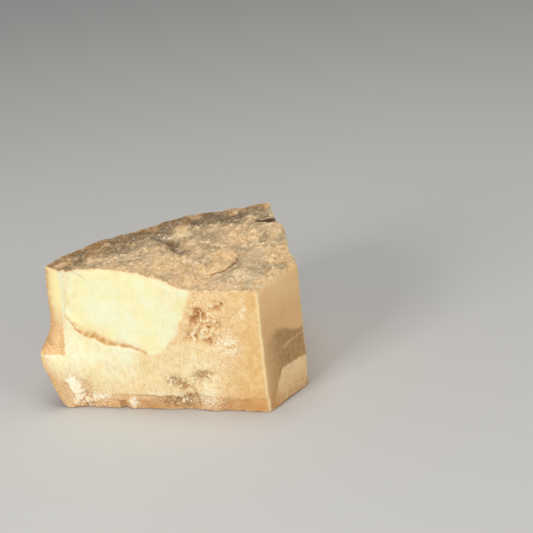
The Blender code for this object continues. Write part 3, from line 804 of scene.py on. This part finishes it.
def field_at(x, y, z):
    """Below zero inside the chunk, above zero outside, with its edges rounded and chipped."""
    sides = outside(x, y, z)
    level = sides["front"]
    other = np.full(level.shape, -1.0)
    by_knife = rise(-0.007, 0.0, sides["knife"])
    for name, radius in EDGE_ROUND.items():
        other = np.maximum(other, np.minimum(level, sides[name]))
        if name == "top":
            radius = radius + SOFT_RIM * by_knife
        level = rounder(level, sides[name], radius)
    near_edge = rise(-0.0050, -0.0004, other - np.maximum(level, 0.0))
    rind = np.maximum(sides["wall"], sides["base"])
    skin = rise(-0.0035, 0.0, rind) * rise(-0.006, -0.001, np.minimum(sides["wall"], sides["base"]))
    low = rise(0.030, 0.010, z)
    chips = near_edge * (1.0 - 0.85 * by_knife) * (1.0 - skin) * (0.6 - 0.3 * low)
    chips = chips * (1.0 - 0.8 * rise(-0.007, -0.002, sides["wall"]))
    bite = np.maximum(lumps(x / 0.0062, y / 0.0062, z / 0.0062), 0.0) * 0.0017
    bite += np.maximum(lumps(x / 0.0027, y / 0.0027, z / 0.0027 + 9.0), 0.0) * 0.0007
    return level + chips * bite


SLAB = 12                     # layers of the grid that are worked out at once
SURELY = 0.005                # what the field says where no side is near


def chunk_field(axes):
    """The field on the whole grid. Only the layer along the sides that relief and chips can
    reach is worked out: from a little outside each side to well under it."""
    field = np.empty([len(axis) for axis in axes], np.float32)
    for start in range(0, len(axes[0]), SLAB):
        x, y, z = np.meshgrid(axes[0][start:start + SLAB], axes[1], axes[2], indexing="ij")
        wall = np.hypot(x - WHEEL_CENTRE[0], y - WHEEL_CENTRE[1]) - WHEEL_RADIUS
        knife = reach_from((0.0, 0.0), KNIFE_OUT, x, y)
        far = reach_from(KNIFE_END, FAR_OUT, x, y)
        near = np.maximum.reduce([wall, -y - 0.001, z - CEILING, -z, knife, far]) < 0.006
        deep = np.maximum.reduce([wall + 0.034, 0.024 - y, z - 0.104, 0.004 - z, knife + 0.006,
                                  far + 0.016]) < 0.0
        worth = near & ~deep
        part = np.where(deep, -SURELY, SURELY)
        part[worth] = field_at(x[worth], y[worth], z[worth])
        field[start:start + SLAB] = part
    return field


def chunk_skin():
    """Points and faces of the chunk's closed skin, one point to each grid cell it crosses."""
    axes = [np.arange(low, high, CELL) for low, high in
            ((LEFT, RIGHT + 0.002), (-0.004, REAR + 0.002), (-0.003, CEILING))]
    field = chunk_field(axes)
    inside = field < 0.0
    count = np.zeros([n - 1 for n in field.shape], np.uint8)
    corners = [(a, b, c) for a in (0, 1) for b in (0, 1) for c in (0, 1)]
    for corner in corners:
        count += inside[tuple(slice(a, n - 1 + a) for a, n in zip(corner, field.shape))]
    crossed = (count > 0) & (count < 8)
    cells = np.argwhere(crossed)
    index = np.full(crossed.shape, -1, np.int64)
    index[crossed] = np.arange(len(cells))
    places = np.zeros((len(cells), 3))
    hits = np.zeros(len(cells))
    for axis in range(3):
        step = np.eye(3, dtype=np.int64)[axis]
        for corner in corners:
            if corner[axis]:
                continue
            first = cells + np.array(corner)
            near, far = field[tuple(first.T)], field[tuple((first + step).T)]
            cut = (near < 0.0) != (far < 0.0)
            part = np.where(cut, near / np.where(cut, near - far, 1.0), 0.0)
            places += cut[:, None] * (np.array(corner) + part[:, None] * step)
            hits += cut
    places = (cells + places / hits[:, None]) * CELL + np.array([axis[0] for axis in axes])
    faces = []
    for axis in range(3):
        u, v = (axis + 1) % 3, (axis + 2) % 3
        ends = np.argwhere(np.diff(inside.astype(np.int8), axis=axis) != 0)
        ends = ends[(ends[:, u] > 0) & (ends[:, v] > 0)]
        ring = []
        for back_u, back_v in ((1, 1), (0, 1), (0, 0), (1, 0)):
            cell = ends.copy()
            cell[:, u] -= back_u
            cell[:, v] -= back_v
            ring.append(index[tuple(cell.T)])
        quads = np.stack(ring, axis=1)
        leaving = inside[tuple(ends.T)]
        faces.append(np.where(leaving[:, None], quads, quads[:, ::-1]))
    return places, np.concatenate(faces)


def largest_shell(points, faces):
    """Leave out the loose crumbs that the relief cut free."""
    label = np.arange(len(points))
    edges = np.concatenate([faces[:, [a, (a + 1) % 4]] for a in range(4)])
    before = None
    while before is None or (label != before).any():
        before = label.copy()
        lowest = np.minimum(label[edges[:, 0]], label[edges[:, 1]])
        np.minimum.at(label, edges[:, 0], lowest)
        np.minimum.at(label, edges[:, 1], lowest)
        label = label[label]
    keep = label == np.bincount(label).argmax()
    renumber = np.cumsum(keep) - 1
    return points[keep], renumber[faces[keep[faces[:, 0]]]]


def add_piece(name, mesh):
    """Put a finished mesh into the scene as a piece of its own."""
    piece = bpy.data.objects.new(name, mesh)
    bpy.context.scene.collection.objects.link(piece)
    return piece


def plain_mesh(made):
    """The object's mesh as its modifiers leave it; the object itself goes."""
    bpy.context.view_layer.update()
    done = made.evaluated_get(bpy.context.evaluated_depsgraph_get())
    mesh = bpy.data.meshes.new_from_object(done)
    old = made.data
    bpy.data.objects.remove(made)
    bpy.data.meshes.remove(old)
    return mesh


def rows_of(data, what, wide, kind=float):
    """One of a mesh's lists as an array with a row to each of its things."""
    values = np.empty(len(data) * wide, kind)
    data.foreach_get(what, values)
    return values.reshape(-1, wide)


points, faces = largest_shell(*chunk_skin())
draft = bpy.data.meshes.new("chunk_draft")
draft.from_pydata(points.tolist(), [], faces.tolist())
thick = add_piece("chunk_draft", draft)
fewer = thick.modifiers.new("Fewer faces where it is flat", "DECIMATE")
fewer.ratio = min(SKIN_TRIANGLES / (2.0 * len(faces)), 1.0)
fewer.use_collapse_triangulate = True
body_mesh = plain_mesh(thick)
body_mesh.name = "cheese_body"

# What each point of the skin is like. Where two sides meet, they share it over a narrow band.
MEETING = 0.0007
spots = rows_of(body_mesh.vertices, "co", 3)
X, Y, Z = spots.T
sides = outside(X, Y, Z)
places = spots_on_sides(X, Y, Z)
names = list(sides)
stack = np.stack([sides[name] for name in names])
share = np.exp((stack - stack.max(axis=0)) / MEETING)
share /= share.sum(axis=0)
share = dict(zip(names, share))
finish = {"rind": share["wall"] + share["base"], "top": share["top"], "knife": share["knife"]}
for what in ("fresh", "pit", "chalk", "olive", "grit", "seam", "even", "gap_and_crack_shade", "combed", "warm",
             "flaky"):
    finish[what] = sum(share[name] * read(sheets[name], what, *places[name]) for name in names)


def bare(part, fresh, chalk):
    """Show pale paste without pits over part of the skin."""
    finish["fresh"] = np.maximum(finish["fresh"], fresh * part)
    finish["chalk"] = np.maximum(finish["chalk"], chalk * part)
    finish["pit"] = finish["pit"] * (1.0 - part)


# The strip of the snapped corner beside the front, with the ledge's pale edge under it
border = (np.interp(Z, *zip(*STRIP_BORDER)) + 0.0005 * lumps(Z / 0.0050, 2.2)
          + 0.0003 * lumps(Z / 0.0020, 4.2))
strip = rise(border + 0.0004, border - 0.0004, X) * rise(0.0502, 0.0508, Z)
strip = strip * (1.0 - finish["top"]) * (1.0 - finish["rind"])
finish["strip"] = strip
# painted highlight: the corner beside the strip turns away from the key light and is made pale and
# chalky to stay bright
bare(share["corner"] * (1.0 - strip) * rise(0.055, 0.062, Z), 0.97, 0.45)
streaks = many_lumps((X + Y) / 0.0030, Z / 0.0110, 6.0)
low = rise(0.092, 0.072, Z + 0.005 * many_lumps((X + Y) / 0.010, Z / 0.012, 3.0, 2))
brown = low * (0.36 + 0.44 * rise(0.0, 0.8, streaks)
               + 0.30 * bell(X - border + 0.0030, 0.0025) * rise(0.078, 0.060, Z))
for what, value in (("fresh", 0.90 - 0.75 * low), ("pit", brown), ("chalk", 0.10 + 0.12 * low)):
    finish[what] = finish[what] * (1.0 - strip) + strip * value
bare(bell(Z - 0.0500, 0.0011) * rise(-0.186, -0.190, X) * (1.0 - finish["rind"]), 0.9, 0.9)

# Loose grit clings to no rind, and the paste is amber next to it
for what in ("grit", "flaky"):
    finish[what] = finish[what] * (1.0 - finish["rind"])
to_rind = np.clip(-np.maximum(sides["wall"], sides["base"] - 0.002), 0.0, None)
finish["amber"] = np.exp(-(to_rind / (0.0070 + 0.0085 * rise(0.040, 0.016, Z))) ** 1.5)
# the edge between the front and the knife cut, which carries a painted highlight
finish["edge"] = (rise(-0.0024, -0.0006, np.minimum(sides["front"], sides["knife"]))
                  * rise(-0.001, -0.004, sides["top"]))
finish["brow"] = finish["top"] * rise(-0.0042, -0.0010, np.maximum(sides["front"], sides["corner"]))

BOX_MARGIN = 0.00001          # the skin stays this far inside the solid's box
spots += CORNER_AT
np.clip(spots, LOW + BOX_MARGIN, HIGH - BOX_MARGIN, out=spots)
body_mesh.vertices.foreach_set("co", spots.ravel())
body_mesh.update()

# How hollow the skin is at each point: hollows get painted shade, edges and bumps a painted
# highlight
HOLLOW_DEPTH = 0.0006         # a dip this deep counts in full
SPREADS = 3                   # how many points away the dip is measured from
ends = rows_of(body_mesh.edges, "vertices", 2, np.int32)
normals = rows_of(body_mesh.vertex_normals, "vector", 3)
joined = np.bincount(ends.ravel(), minlength=len(spots))


def neighbour_mean(values):
    """Mean over the points joined to each point by an edge."""
    total = np.bincount(ends[:, 0], values[ends[:, 1]], len(spots))
    total += np.bincount(ends[:, 1], values[ends[:, 0]], len(spots))
    return total / np.maximum(joined, 1)


around = spots.copy()
for _ in range(SPREADS):
    around = np.stack([neighbour_mean(around[:, axis]) for axis in range(3)], axis=1)
hollow = ((around - spots) * normals).sum(axis=1) / HOLLOW_DEPTH
finish["hollow"] = np.clip(hollow, -1.0, 1.0) * (1.0 - bell(X - border, 0.0030))
for name, values in finish.items():
    layer = body_mesh.attributes.new(name, "FLOAT", "POINT")
    layer.data.foreach_set("value", np.clip(values, -1.0, 1.0).astype(np.float32))
body_mesh.polygons.foreach_set("use_smooth", np.ones(len(body_mesh.polygons), bool))
cheese = add_piece("cheese_body", body_mesh)


def colour(red, green, blue):
    """A colour given in everyday 0 to 255 steps, as the shaders count it."""
    parts = [value / 255.0 for value in (red, green, blue)]
    line = [v / 12.92 if v <= 0.04045 else ((v + 0.055) / 1.055) ** 2.4 for v in parts]
    return (*line, 1.0)


class Desk:
    """Lays out the nodes of one material or group, and joins them as it goes."""

    kinds = "ShaderNode"      # what the names of its nodes' types start with

    def __init__(self, tree):
        self.tree = tree

    def put(self, kind, settings=(), **inputs):
        """A new node, with its settings and with its inputs by name."""
        made = self.tree.nodes.new(self.kinds + kind)
        for name, value in dict(settings).items():
            setattr(made, name, value)
        return self.feed(made, **inputs)

    def feed(self, made, **inputs):
        """Set a node's inputs, or join them to other nodes' outputs."""
        for name, value in inputs.items():
            name = name.replace("_", " ")
            self.join(made.inputs[int(name) if name.isdigit() else name], value)
        return made

    def join(self, socket, value):
        """Set one socket, or join it to another node's output."""
        if isinstance(value, bpy.types.NodeSocket):
            self.tree.links.new(value, socket)
        else:
            socket.default_value = value

    def sum(self, how, first, second, clamp=False):
        """Arithmetic on values."""
        made = self.tree.nodes.new("ShaderNodeMath")
        made.operation = how
        made.use_clamp = clamp
        return self.feed(made, **{"0": first, "1": second}).outputs[0]

    def times(self, first, second):
        """One value times another."""
        return self.sum("MULTIPLY", first, second)

    def ramp(self, value, low, high, bottom=0.0, top=1.0):
        """Smooth rise from bottom to top as a value goes from low to high."""
        return self.put("MapRange", {"interpolation_type": "SMOOTHSTEP"}, Value=value, From_Min=low,
                        From_Max=high, To_Min=bottom, To_Max=top).outputs[0]

    def blend(self, part, first, second):
        """Mix of two colours, either of them plain or a node's."""
        pair = [colour(*tint) if isinstance(tint, tuple) else tint for tint in (first, second)]
        return self.put("Mix", {"data_type": "RGBA"}, **{"0": part, "6": pair[0], "7": pair[1]}
                        ).outputs[2]

    def coats(self, tint, *rows):
        """One colour after another laid over a tint. A row is a mask, the ends of its ramp, if
        it has one, and the colour."""
        for mask, *ends, over in rows:
            tint = self.blend(self.ramp(mask, *ends) if ends else mask, tint, over)
        return tint

    def layer(self, name):
        """One of the finishes that the skin carries."""
        return self.put("Attribute", {"attribute_name": name}).outputs["Fac"]

    def noise(self, place, size, detail, rough_share=0.55):
        """Noise whose lumps have a real size."""
        scale = self.sum("DIVIDE", 1.0, size)
        return self.put("TexNoise", Vector=place, Scale=scale, Detail=detail,
                        Roughness=rough_share).outputs[0]

    def group(self, group, **inputs):
        """A shared group placed with its own values."""
        return self.put("Group", {"node_tree": group}, **inputs).outputs


def shared_group(name, inputs, outputs):
    """An empty shader group with its named sockets."""
    group = bpy.data.node_groups.new(name, "ShaderNodeTree")
    for label, kind, value in inputs:
        socket = group.interface.new_socket(label, in_out="INPUT", socket_type="NodeSocket" + kind)
        if value is not None:
            socket.default_value = value
    for label, kind in outputs:
        group.interface.new_socket(label, in_out="OUTPUT", socket_type="NodeSocket" + kind)
    given, result = group.nodes.new("NodeGroupInput"), group.nodes.new("NodeGroupOutput")
    return group, Desk(group), given.outputs, result


# Grain of the paste: clouds, lumps, fine grains and pale flecks at a place
grain_group, desk, given, result = shared_group(
    "paste_grain",
    [("Place", "Vector", None), ("Cloud size", "Float", 0.022), ("Lump size", "Float", 0.0055),
     ("Grain size", "Float", 0.0012), ("Fleck size", "Float", 0.0024)],
    [("Clouds", "Float"), ("Lumps", "Float"), ("Grains", "Float"), ("Flecks", "Float"),
     ("Relief", "Float")])
place = given["Place"]
mid = desk.noise(place, given["Lump size"], 3.0)
grains = desk.noise(place, given["Grain size"], 2.0, 0.65)
cells = desk.put("TexVoronoi", {"feature": "F1"}, Vector=place, Randomness=1.0,
                 Scale=desk.sum("DIVIDE", 1.0, given["Fleck size"]))
chosen = desk.put("SeparateColor", Color=cells.outputs["Color"])
desk.feed(result, Clouds=desk.noise(place, given["Cloud size"], 3.0), Lumps=mid, Grains=grains,
          Flecks=desk.times(desk.ramp(cells.outputs["Distance"], 0.46, 0.20),
                            desk.ramp(chosen.outputs[0], 0.30, 0.95)),
          Relief=desk.sum("ADD", desk.times(grains, 0.75), desk.times(mid, 0.25)))

# Rind: golden brown, mottled, with pale rubbed places and dark specks
rind_group, desk, given, result = shared_group(
    "rind_finish",
    [("Place", "Vector", None), ("Rubbed", "Float", 0.0), ("Pocks", "Float", 0.0)],
    [("Colour", "Color"), ("Relief", "Float")])
place = given["Place"]
mottle = desk.noise(place, 0.009, 4.0, 0.6)
speck = desk.noise(place, 0.0016, 2.0, 0.6)
golden = desk.blend(desk.ramp(desk.noise(place, 0.045, 3.0), 0.36, 0.64), (188, 128, 62),
                    (214, 160, 88))
golden = desk.coats(
    golden,
    (mottle, 0.42, 0.70, 0.0, 0.75, (150, 92, 40)),
    (mottle, 0.46, 0.30, 0.0, 0.55, (226, 180, 112)),
    (speck, 0.60, 0.74, 0.0, 0.55, (112, 66, 30)),
    (desk.times(given["Rubbed"], desk.ramp(speck, 0.40, 0.60)), (236, 204, 146)),
    (desk.times(given["Pocks"], 0.8), (92, 54, 26)))
desk.feed(result, Colour=golden,
          Relief=desk.sum("ADD", desk.times(mottle, 0.4), desk.times(speck, 0.6)))


def new_material(name, roughness):
    """A material, its desk, its Principled shader ready to be fed, and the place on its piece."""
    material = bpy.data.materials.new(name)
    material.use_nodes = True
    desk = Desk(material.node_tree)
    shader = material.node_tree.nodes["Principled BSDF"]
    desk.feed(shader, Roughness=roughness)
    return material, desk, shader, desk.put("TexCoord").outputs["Object"]


paste, desk, shader, place = new_material("matured_paste", 0.62)
grain = desk.group(grain_group, Place=place)
layer = {name: desk.layer(name) for name in finish}
lump, grit, cloud = grain["Lumps"], grain["Grains"], grain["Clouds"]


def stretched(by):
    """The place on the skin, with a pattern drawn out along one direction."""
    return desk.put("VectorMath", {"operation": "MULTIPLY"}, **{"0": place, "1": by}).outputs[0]


# Dry paste and freshly split paste, with short upright marks combed into the front
hatch = desk.noise(stretched((1.0, 1.0, 0.30)), 0.0017, 1.0)
dry = desk.blend(desk.ramp(lump, 0.34, 0.66), (221, 177, 115), (231, 191, 130))
dry = desk.coats(dry, (grit, 0.42, 0.72, 0.0, 0.35, (246, 214, 156)))
fresh = desk.blend(desk.ramp(cloud, 0.34, 0.66), (240, 234, 180), (238, 238, 202))
fresh = desk.coats(fresh, (grit, 0.55, 0.76, 0.0, 0.25, (250, 247, 212)))
ripe = desk.sum("ADD", layer["fresh"], desk.ramp(lump, 0.30, 0.70, -0.10, 0.10), clamp=True)
tint = desk.blend(ripe, dry, fresh)
for low, high, most, over in ((0.42, 0.62, 0.30, (254, 240, 198)),
                              (0.50, 0.34, 0.20, (232, 194, 138))):
    combed = desk.times(layer["combed"], desk.ramp(hatch, low, high))
    tint = desk.blend(desk.times(combed, most), tint, over)

# The split top, grey brown where its tone is low, partly from its own colour and partly as painted
# shade, and the brow along its front rim
split = desk.group(grain_group, Place=stretched((1.0, 0.55, 1.0)), Lump_size=0.0070,
                   Grain_size=0.0017)
top_low = desk.blend(desk.ramp(layer["warm"], -0.05, 0.45), (102, 88, 64), (156, 112, 68))
top_tint = desk.coats(
    desk.blend(layer["fresh"], top_low, (255, 223, 175)),
    (layer["warm"], 0.0, 1.0, 0.0, 0.50, (244, 196, 138)),
    (layer["warm"], 0.0, -1.0, 0.0, 0.50, (214, 178, 146)),
    (split["Lumps"], 0.56, 0.36, 0.0, 0.36, (178, 144, 104)),
    (split["Grains"], 0.56, 0.68, 0.0, 0.42, (255, 240, 204)),
    (split["Grains"], 0.44, 0.34, 0.0, 0.34, (160, 116, 66)))

# The golden strip at the snapped corner, and the knife cut
gilt = desk.blend(layer["fresh"], (255, 208, 144), (255, 242, 176))
gilt = desk.coats(gilt, (grit, 0.46, 0.66, 0.0, 0.30, (255, 246, 206)))
cut_tint = desk.coats(
    desk.blend(desk.ramp(cloud, 0.35, 0.65), (249, 199, 138), (250, 205, 147)),
    (grit, 0.50, 0.70, 0.0, 0.25, (255, 224, 172)),
    (desk.times(layer["fresh"], 0.8), (250, 230, 180)))

# Over all of them: amber by the rind, dull patches, pits, painted shade in hollows, painted
# highlights on edges, chalk, and painted shade along the seams and in the gap
amber = desk.times(layer["amber"], desk.ramp(lump, 0.25, 0.65, 0.55, 1.0))
amber = desk.times(amber, desk.ramp(layer["top"], 0.0, 1.0, 0.90, 0.35))
olive = desk.times(layer["olive"], desk.ramp(lump, 0.75, 0.25, 0.70, 1.0))
# brown where the pit finish is high, which in hollows, sockets and the nick is painted shade
pit = desk.times(layer["pit"], desk.ramp(grit, 0.70, 0.40, 0.70, 1.0))
# painted shade in hollows of the skin; painted highlight on its edges and bumps and along the front
# right edge
hollow_shade = desk.times(desk.ramp(layer["hollow"], 0.15, 0.90, 0.0, 0.40),
                  desk.ramp(layer["top"], 0.0, 1.0, 1.0, 0.4))
edge_highlight = desk.sum("MAXIMUM", desk.times(desk.ramp(layer["hollow"], -0.15, -0.80), 0.40),
                desk.times(layer["edge"], 0.65))
fleck = desk.ramp(desk.times(grain["Flecks"], desk.times(layer["chalk"], 1.15)), 0.12, 0.42)
haze = desk.times(desk.ramp(grit, 0.42, 0.58), desk.times(layer["chalk"], 0.85))
thick_haze = desk.times(desk.ramp(layer["chalk"], 0.80, 1.0, 0.0, 0.9),
                        desk.ramp(grit, 0.36, 0.52, 0.35, 1.0))
haze = desk.sum("MAXIMUM", haze, thick_haze)
tint = desk.coats(
    tint,
    (layer["top"], top_tint),
    (desk.times(layer["brow"], 0.70), (214, 162, 108)),
    (layer["strip"], gilt),
    (layer["knife"], cut_tint),
    (amber, (200, 136, 66)),
    (olive, (160, 122, 66)),
    (pit, desk.blend(layer["olive"], (192, 130, 68), (158, 116, 62))),
    (hollow_shade, (184, 132, 80)),
    (edge_highlight, (254, 236, 186)),
    (desk.sum("MAXIMUM", desk.times(fleck, 0.7), haze), (255, 248, 224)),
    # painted shade along the cracks
    (layer["seam"], (204, 142, 78)),
    # painted shade in the gap and the rim crack
    (layer["gap_and_crack_shade"], (88, 62, 36)))

rind = desk.group(rind_group, Place=place, Rubbed=layer["fresh"], Pocks=layer["pit"])
on_rind = desk.sum("ADD", layer["rind"], desk.ramp(grit, 0.30, 0.70, -0.25, 0.25))
on_rind = desk.ramp(on_rind, 0.35, 0.65)
dull = desk.ramp(layer["even"], 0.0, 1.0, 0.72, 0.46)
upright = desk.put("Mapping", Vector=place, Scale=(1.0, 1.0, 0.16)).outputs[0]
relief = desk.sum("ADD", desk.times(grain["Relief"], 0.7),
                  desk.times(desk.noise(upright, 0.0011, 2.0), 0.5))
relief = desk.times(relief, desk.ramp(layer["even"], 0.0, 1.0, 1.0, 0.22))
relief = desk.put("Mix", {"data_type": "FLOAT"},
                  **{"0": on_rind, "2": relief, "3": desk.times(rind["Relief"], 0.45)}).outputs[0]
bump = desk.put("Bump", Height=relief, Strength=0.55, Distance=0.0010)
desk.feed(shader, Base_Color=desk.blend(on_rind, tint, rind["Colour"]), Normal=bump.outputs[0],
          Roughness=desk.sum("ADD", dull, desk.ramp(grit, 0.3, 0.7, -0.06, 0.08)),
          Subsurface_Weight=0.12, Subsurface_Radius=(1.0, 0.62, 0.28), Subsurface_Scale=0.003,
          Specular_IOR_Level=0.35)
body_mesh.materials.clear()
body_mesh.materials.append(paste)
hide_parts("cheese_chunk")
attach(cheese, "root")

# ---------------------------------------------------------------------------------------
# Crumbs and flakes
# Loose grains of broken paste and thin scales of it that still cling where the chunk was
# split and torn. They are scattered over the skin, most where it is grittiest.
# ---------------------------------------------------------------------------------------

CLOSE_IN = 0.00002            # a copy that comes closer than this to the solid's box is left out
JOG = (0.14, 0.14, 0.10)      # how far a small shape's corners are moved out of true


class Recipe(Desk):
    """Lays out one Geometry Nodes tree."""

    kinds = ""

    def __init__(self, name, inputs):
        super().__init__(bpy.data.node_groups.new(name, "GeometryNodeTree"))
        add = self.tree.interface.new_socket
        add("Geometry", in_out="OUTPUT", socket_type="NodeSocketGeometry")
        for label, kind in (("Geometry", "Geometry"), *inputs):
            add(label, in_out="INPUT", socket_type="NodeSocket" + kind)
        self.given = self.tree.nodes.new("NodeGroupInput").outputs
        self.result = self.tree.nodes.new("NodeGroupOutput")

    def draw(self, kind, low, high, seed):
        """Random values, one for each point."""
        made = self.put("FunctionNodeRandomValue", {"data_type": kind}, Seed=seed)
        ends = [s for s in made.inputs if s.enabled and s.name in ("Min", "Max")]
        for socket, value in zip(ends, (low, high)):
            self.join(socket, value)
        return [s for s in made.outputs if s.enabled][0]


def scatter_tree(name, shape, spread, tip):
    """Copies of a small shape on the skin, more of them where one of its finishes is high, and
    tipped up to an angle."""
    recipe = Recipe(name, (("Density", "Float"), ("Smallest", "Vector"), ("Largest", "Vector"),
                           ("Seed", "Int"), ("Material", "Material")))
    given = recipe.given
    much = recipe.put("GeometryNodeInputNamedAttribute", {"data_type": "FLOAT"}, Name=spread)
    much = recipe.sum("POWER", much.outputs[0], 1.6)
    places = recipe.put("GeometryNodeDistributePointsOnFaces", Mesh=given["Geometry"],
                        Density=recipe.times(much, given["Density"]), Seed=given["Seed"])
    if shape == "grain":
        lump = recipe.put("GeometryNodeMeshIcoSphere", Radius=0.5, Subdivisions=1)
    else:
        lump = recipe.put("GeometryNodeMeshCylinder", Vertices=7, Side_Segments=1, Fill_Segments=1,
                          Radius=0.5, Depth=1.0)
    jog = recipe.draw("FLOAT_VECTOR", tuple(-most for most in JOG), JOG, 4)
    lump = recipe.put("GeometryNodeSetPosition", Geometry=lump.outputs[0], Offset=jog)
    turn = recipe.put("FunctionNodeEulerToRotation",
                      Euler=recipe.draw("FLOAT_VECTOR", (-tip, -tip, -3.2), (tip, tip, 3.2), 5))
    turn = recipe.put("FunctionNodeRotateRotation", {"rotation_space": "LOCAL"},
                      Rotation=places.outputs["Rotation"], Rotate_By=turn.outputs[0])
    size = recipe.draw("FLOAT_VECTOR", given["Smallest"], given["Largest"], 6)
    copies = recipe.put("GeometryNodeInstanceOnPoints", Points=places.outputs["Points"],
                        Instance=lump.outputs[0], Rotation=turn.outputs[0], Scale=size)
    toned = recipe.put("GeometryNodeStoreNamedAttribute",
                       {"data_type": "FLOAT", "domain": "INSTANCE"}, Geometry=copies.outputs[0],
                       Name="tone", Value=recipe.draw("FLOAT", 0.0, 1.0, 7))
    solid = recipe.put("GeometryNodeRealizeInstances", Geometry=toned.outputs[0])
    dressed = recipe.put("GeometryNodeSetMaterial", Geometry=solid.outputs[0],
                         Material=given["Material"])
    recipe.feed(recipe.result, Geometry=dressed.outputs[0])
    return recipe.tree


crumb, desk, shader, place = new_material("loose_paste", 0.70)
grain = desk.group(grain_group, Place=place, Lump_size=0.0030, Grain_size=0.0007)
near_tone = desk.sum("ADD", desk.times(desk.layer("fresh"), 0.92),
                     desk.ramp(desk.layer("tone"), 0.0, 1.0, -0.04, 0.22), clamp=True)
top_tint = desk.coats(desk.blend(near_tone, (124, 102, 68), (255, 228, 180)),
                      (desk.layer("warm"), 0.0, 1.0, 0.0, 0.40, (240, 190, 128)))
tint = desk.coats(desk.blend(desk.layer("tone"), (238, 204, 148), (255, 246, 218)),
                  (desk.layer("top"), top_tint),
                  (grain["Grains"], 0.44, 0.32, 0.0, 0.5, (206, 160, 104)))
bump = desk.put("Bump", Height=grain["Relief"], Strength=0.5, Distance=0.0004)
desk.feed(shader, Base_Color=tint, Roughness=desk.ramp(grain["Lumps"], 0.3, 0.7, 0.60, 0.80),
          Normal=bump.outputs[0])


def scattered(name, tree, **settings):
    """A piece made of all the copies that a tree spreads over the chunk's skin."""
    base = add_piece(name + "_draft", body_mesh.copy())
    spread = base.modifiers.new("Spread", "NODES")
    spread.node_group = tree
    keys = {item.name: item.identifier for item in tree.interface.items_tree
            if item.in_out == "INPUT"}
    for label, value in settings.items():
        spread[keys[label]] = value
    mesh = plain_mesh(base)
    mesh.name = name
    corners = rows_of(mesh.vertices, "co", 3)
    beyond = ((corners < LOW + CLOSE_IN) | (corners > HIGH - CLOSE_IN)).any(axis=1)
    tones = rows_of(mesh.attributes["tone"].data, "value", 1)[:, 0]
    copy_of = np.unique(tones, return_inverse=True)[1]
    dropped = np.bincount(copy_of, beyond)[copy_of] > 0
    kept = bmesh.new()
    kept.from_mesh(mesh)
    kept.verts.ensure_lookup_table()
    bmesh.ops.delete(kept, geom=[kept.verts[i] for i in np.flatnonzero(dropped)], context="VERTS")
    kept.to_mesh(mesh)
    kept.free()
    piece = add_piece(name, mesh)
    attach(piece, "root")


scattered("cheese_crumbs", scatter_tree("crumb_grains", "grain", "grit", 3.2),
          Density=150000.0, Smallest=(0.0006, 0.0006, 0.0005), Largest=(0.0017, 0.0015, 0.0012),
          Seed=3, Material=crumb)
scattered("cheese_scales", scatter_tree("paste_scales", "scale", "flaky", 0.30),
          Density=130000.0, Smallest=(0.0012, 0.0009, 0.0004), Largest=(0.0042, 0.0028, 0.0008),
          Seed=8, Material=crumb)

# ---------------------------------------------------------------------------------------
# Stage
# A plain pale floor and soft studio light: one wide low key from the front left, a softer
# one overhead and one from the right, and an even fill from all round.
# ---------------------------------------------------------------------------------------

FLOOR_HALF = 15.0
FLOOR_GAP = 0.0002            # the floor lies this far under the resting face
EVEN_FILL = 0.29
LIGHTS = (                    # name, place, aim, size, power, tint
    ("key", (-0.73, -2.00, 0.90), (-0.02, -0.02, 0.06), 0.8, 30.0, (1.0, 0.99, 0.955)),
    ("overhead", (0.05, 0.10, 2.2), (0.0, 0.0, 0.1), 1.2, 14.0, (1.0, 0.985, 0.95)),
    ("side_fill", (1.9, -1.0, 0.75), (0.0, 0.0, 0.06), 1.0, 12.0, (1.0, 0.98, 0.95)),
)

floor_mesh = bpy.data.meshes.new("floor")
floor_mesh.from_pydata([(x * FLOOR_HALF, y * FLOOR_HALF, 0.0)
                        for x, y in ((-1, -1), (1, -1), (1, 1), (-1, 1))], [], [(0, 1, 2, 3)])
floor = add_piece("floor", floor_mesh)
floor.location.z = -FLOOR_GAP
floor_finish, desk, shader, place = new_material("floor_paper", 0.85)
paper = desk.blend(desk.noise(place, 0.60, 2.0), (206, 205, 203), (212, 211, 209))
desk.feed(shader, Base_Color=paper)
floor_mesh.materials.append(floor_finish)

world = bpy.data.worlds.new("studio")
bpy.context.scene.world = world
world.use_nodes = True
background = world.node_tree.nodes["Background"]
background.inputs["Color"].default_value = (1.0, 1.0, 1.0, 1.0)
background.inputs["Strength"].default_value = EVEN_FILL

for name, at, aim, size, power, tint in LIGHTS:
    lamp = bpy.data.lights.new(name, "AREA")
    lamp.shape, lamp.size, lamp.energy, lamp.color = "SQUARE", size, power, tint
    soft_box = add_piece(name, lamp)
    soft_box.location = at
    soft_box.rotation_euler = (Vector(aim) - Vector(at)).to_track_quat("-Z", "Y").to_euler()

# ---------------------------------------------------------------------------------------
# Camera
# It stands to the right in front of the chunk, looks a little down on it, and is rolled.
# ---------------------------------------------------------------------------------------

CAMERA_AT = Vector((0.4234, -1.1630, 0.5388))
CAMERA_AIM = Vector((0.0453, 0.0971, 0.0600))
CAMERA_ROLL = radians(6.0)
LENS, SENSOR = 94.56, 36.0    # in millimetres
camera_data = bpy.data.cameras.new("camera")
camera_data.sensor_width = SENSOR
camera_data.lens = LENS
camera = add_piece("camera", camera_data)
look = (CAMERA_AIM - CAMERA_AT).normalized()
level = look.cross(Vector((0.0, 0.0, 1.0))).normalized()
over = level.cross(look)
right = cos(CAMERA_ROLL) * level - sin(CAMERA_ROLL) * over
up = sin(CAMERA_ROLL) * level + cos(CAMERA_ROLL) * over
turned = Matrix((right, up, -look)).transposed().to_4x4()
camera.matrix_world = Matrix.Translation(CAMERA_AT) @ turned
bpy.context.scene.camera = camera
bpy.context.scene.view_settings.view_transform = "Standard"
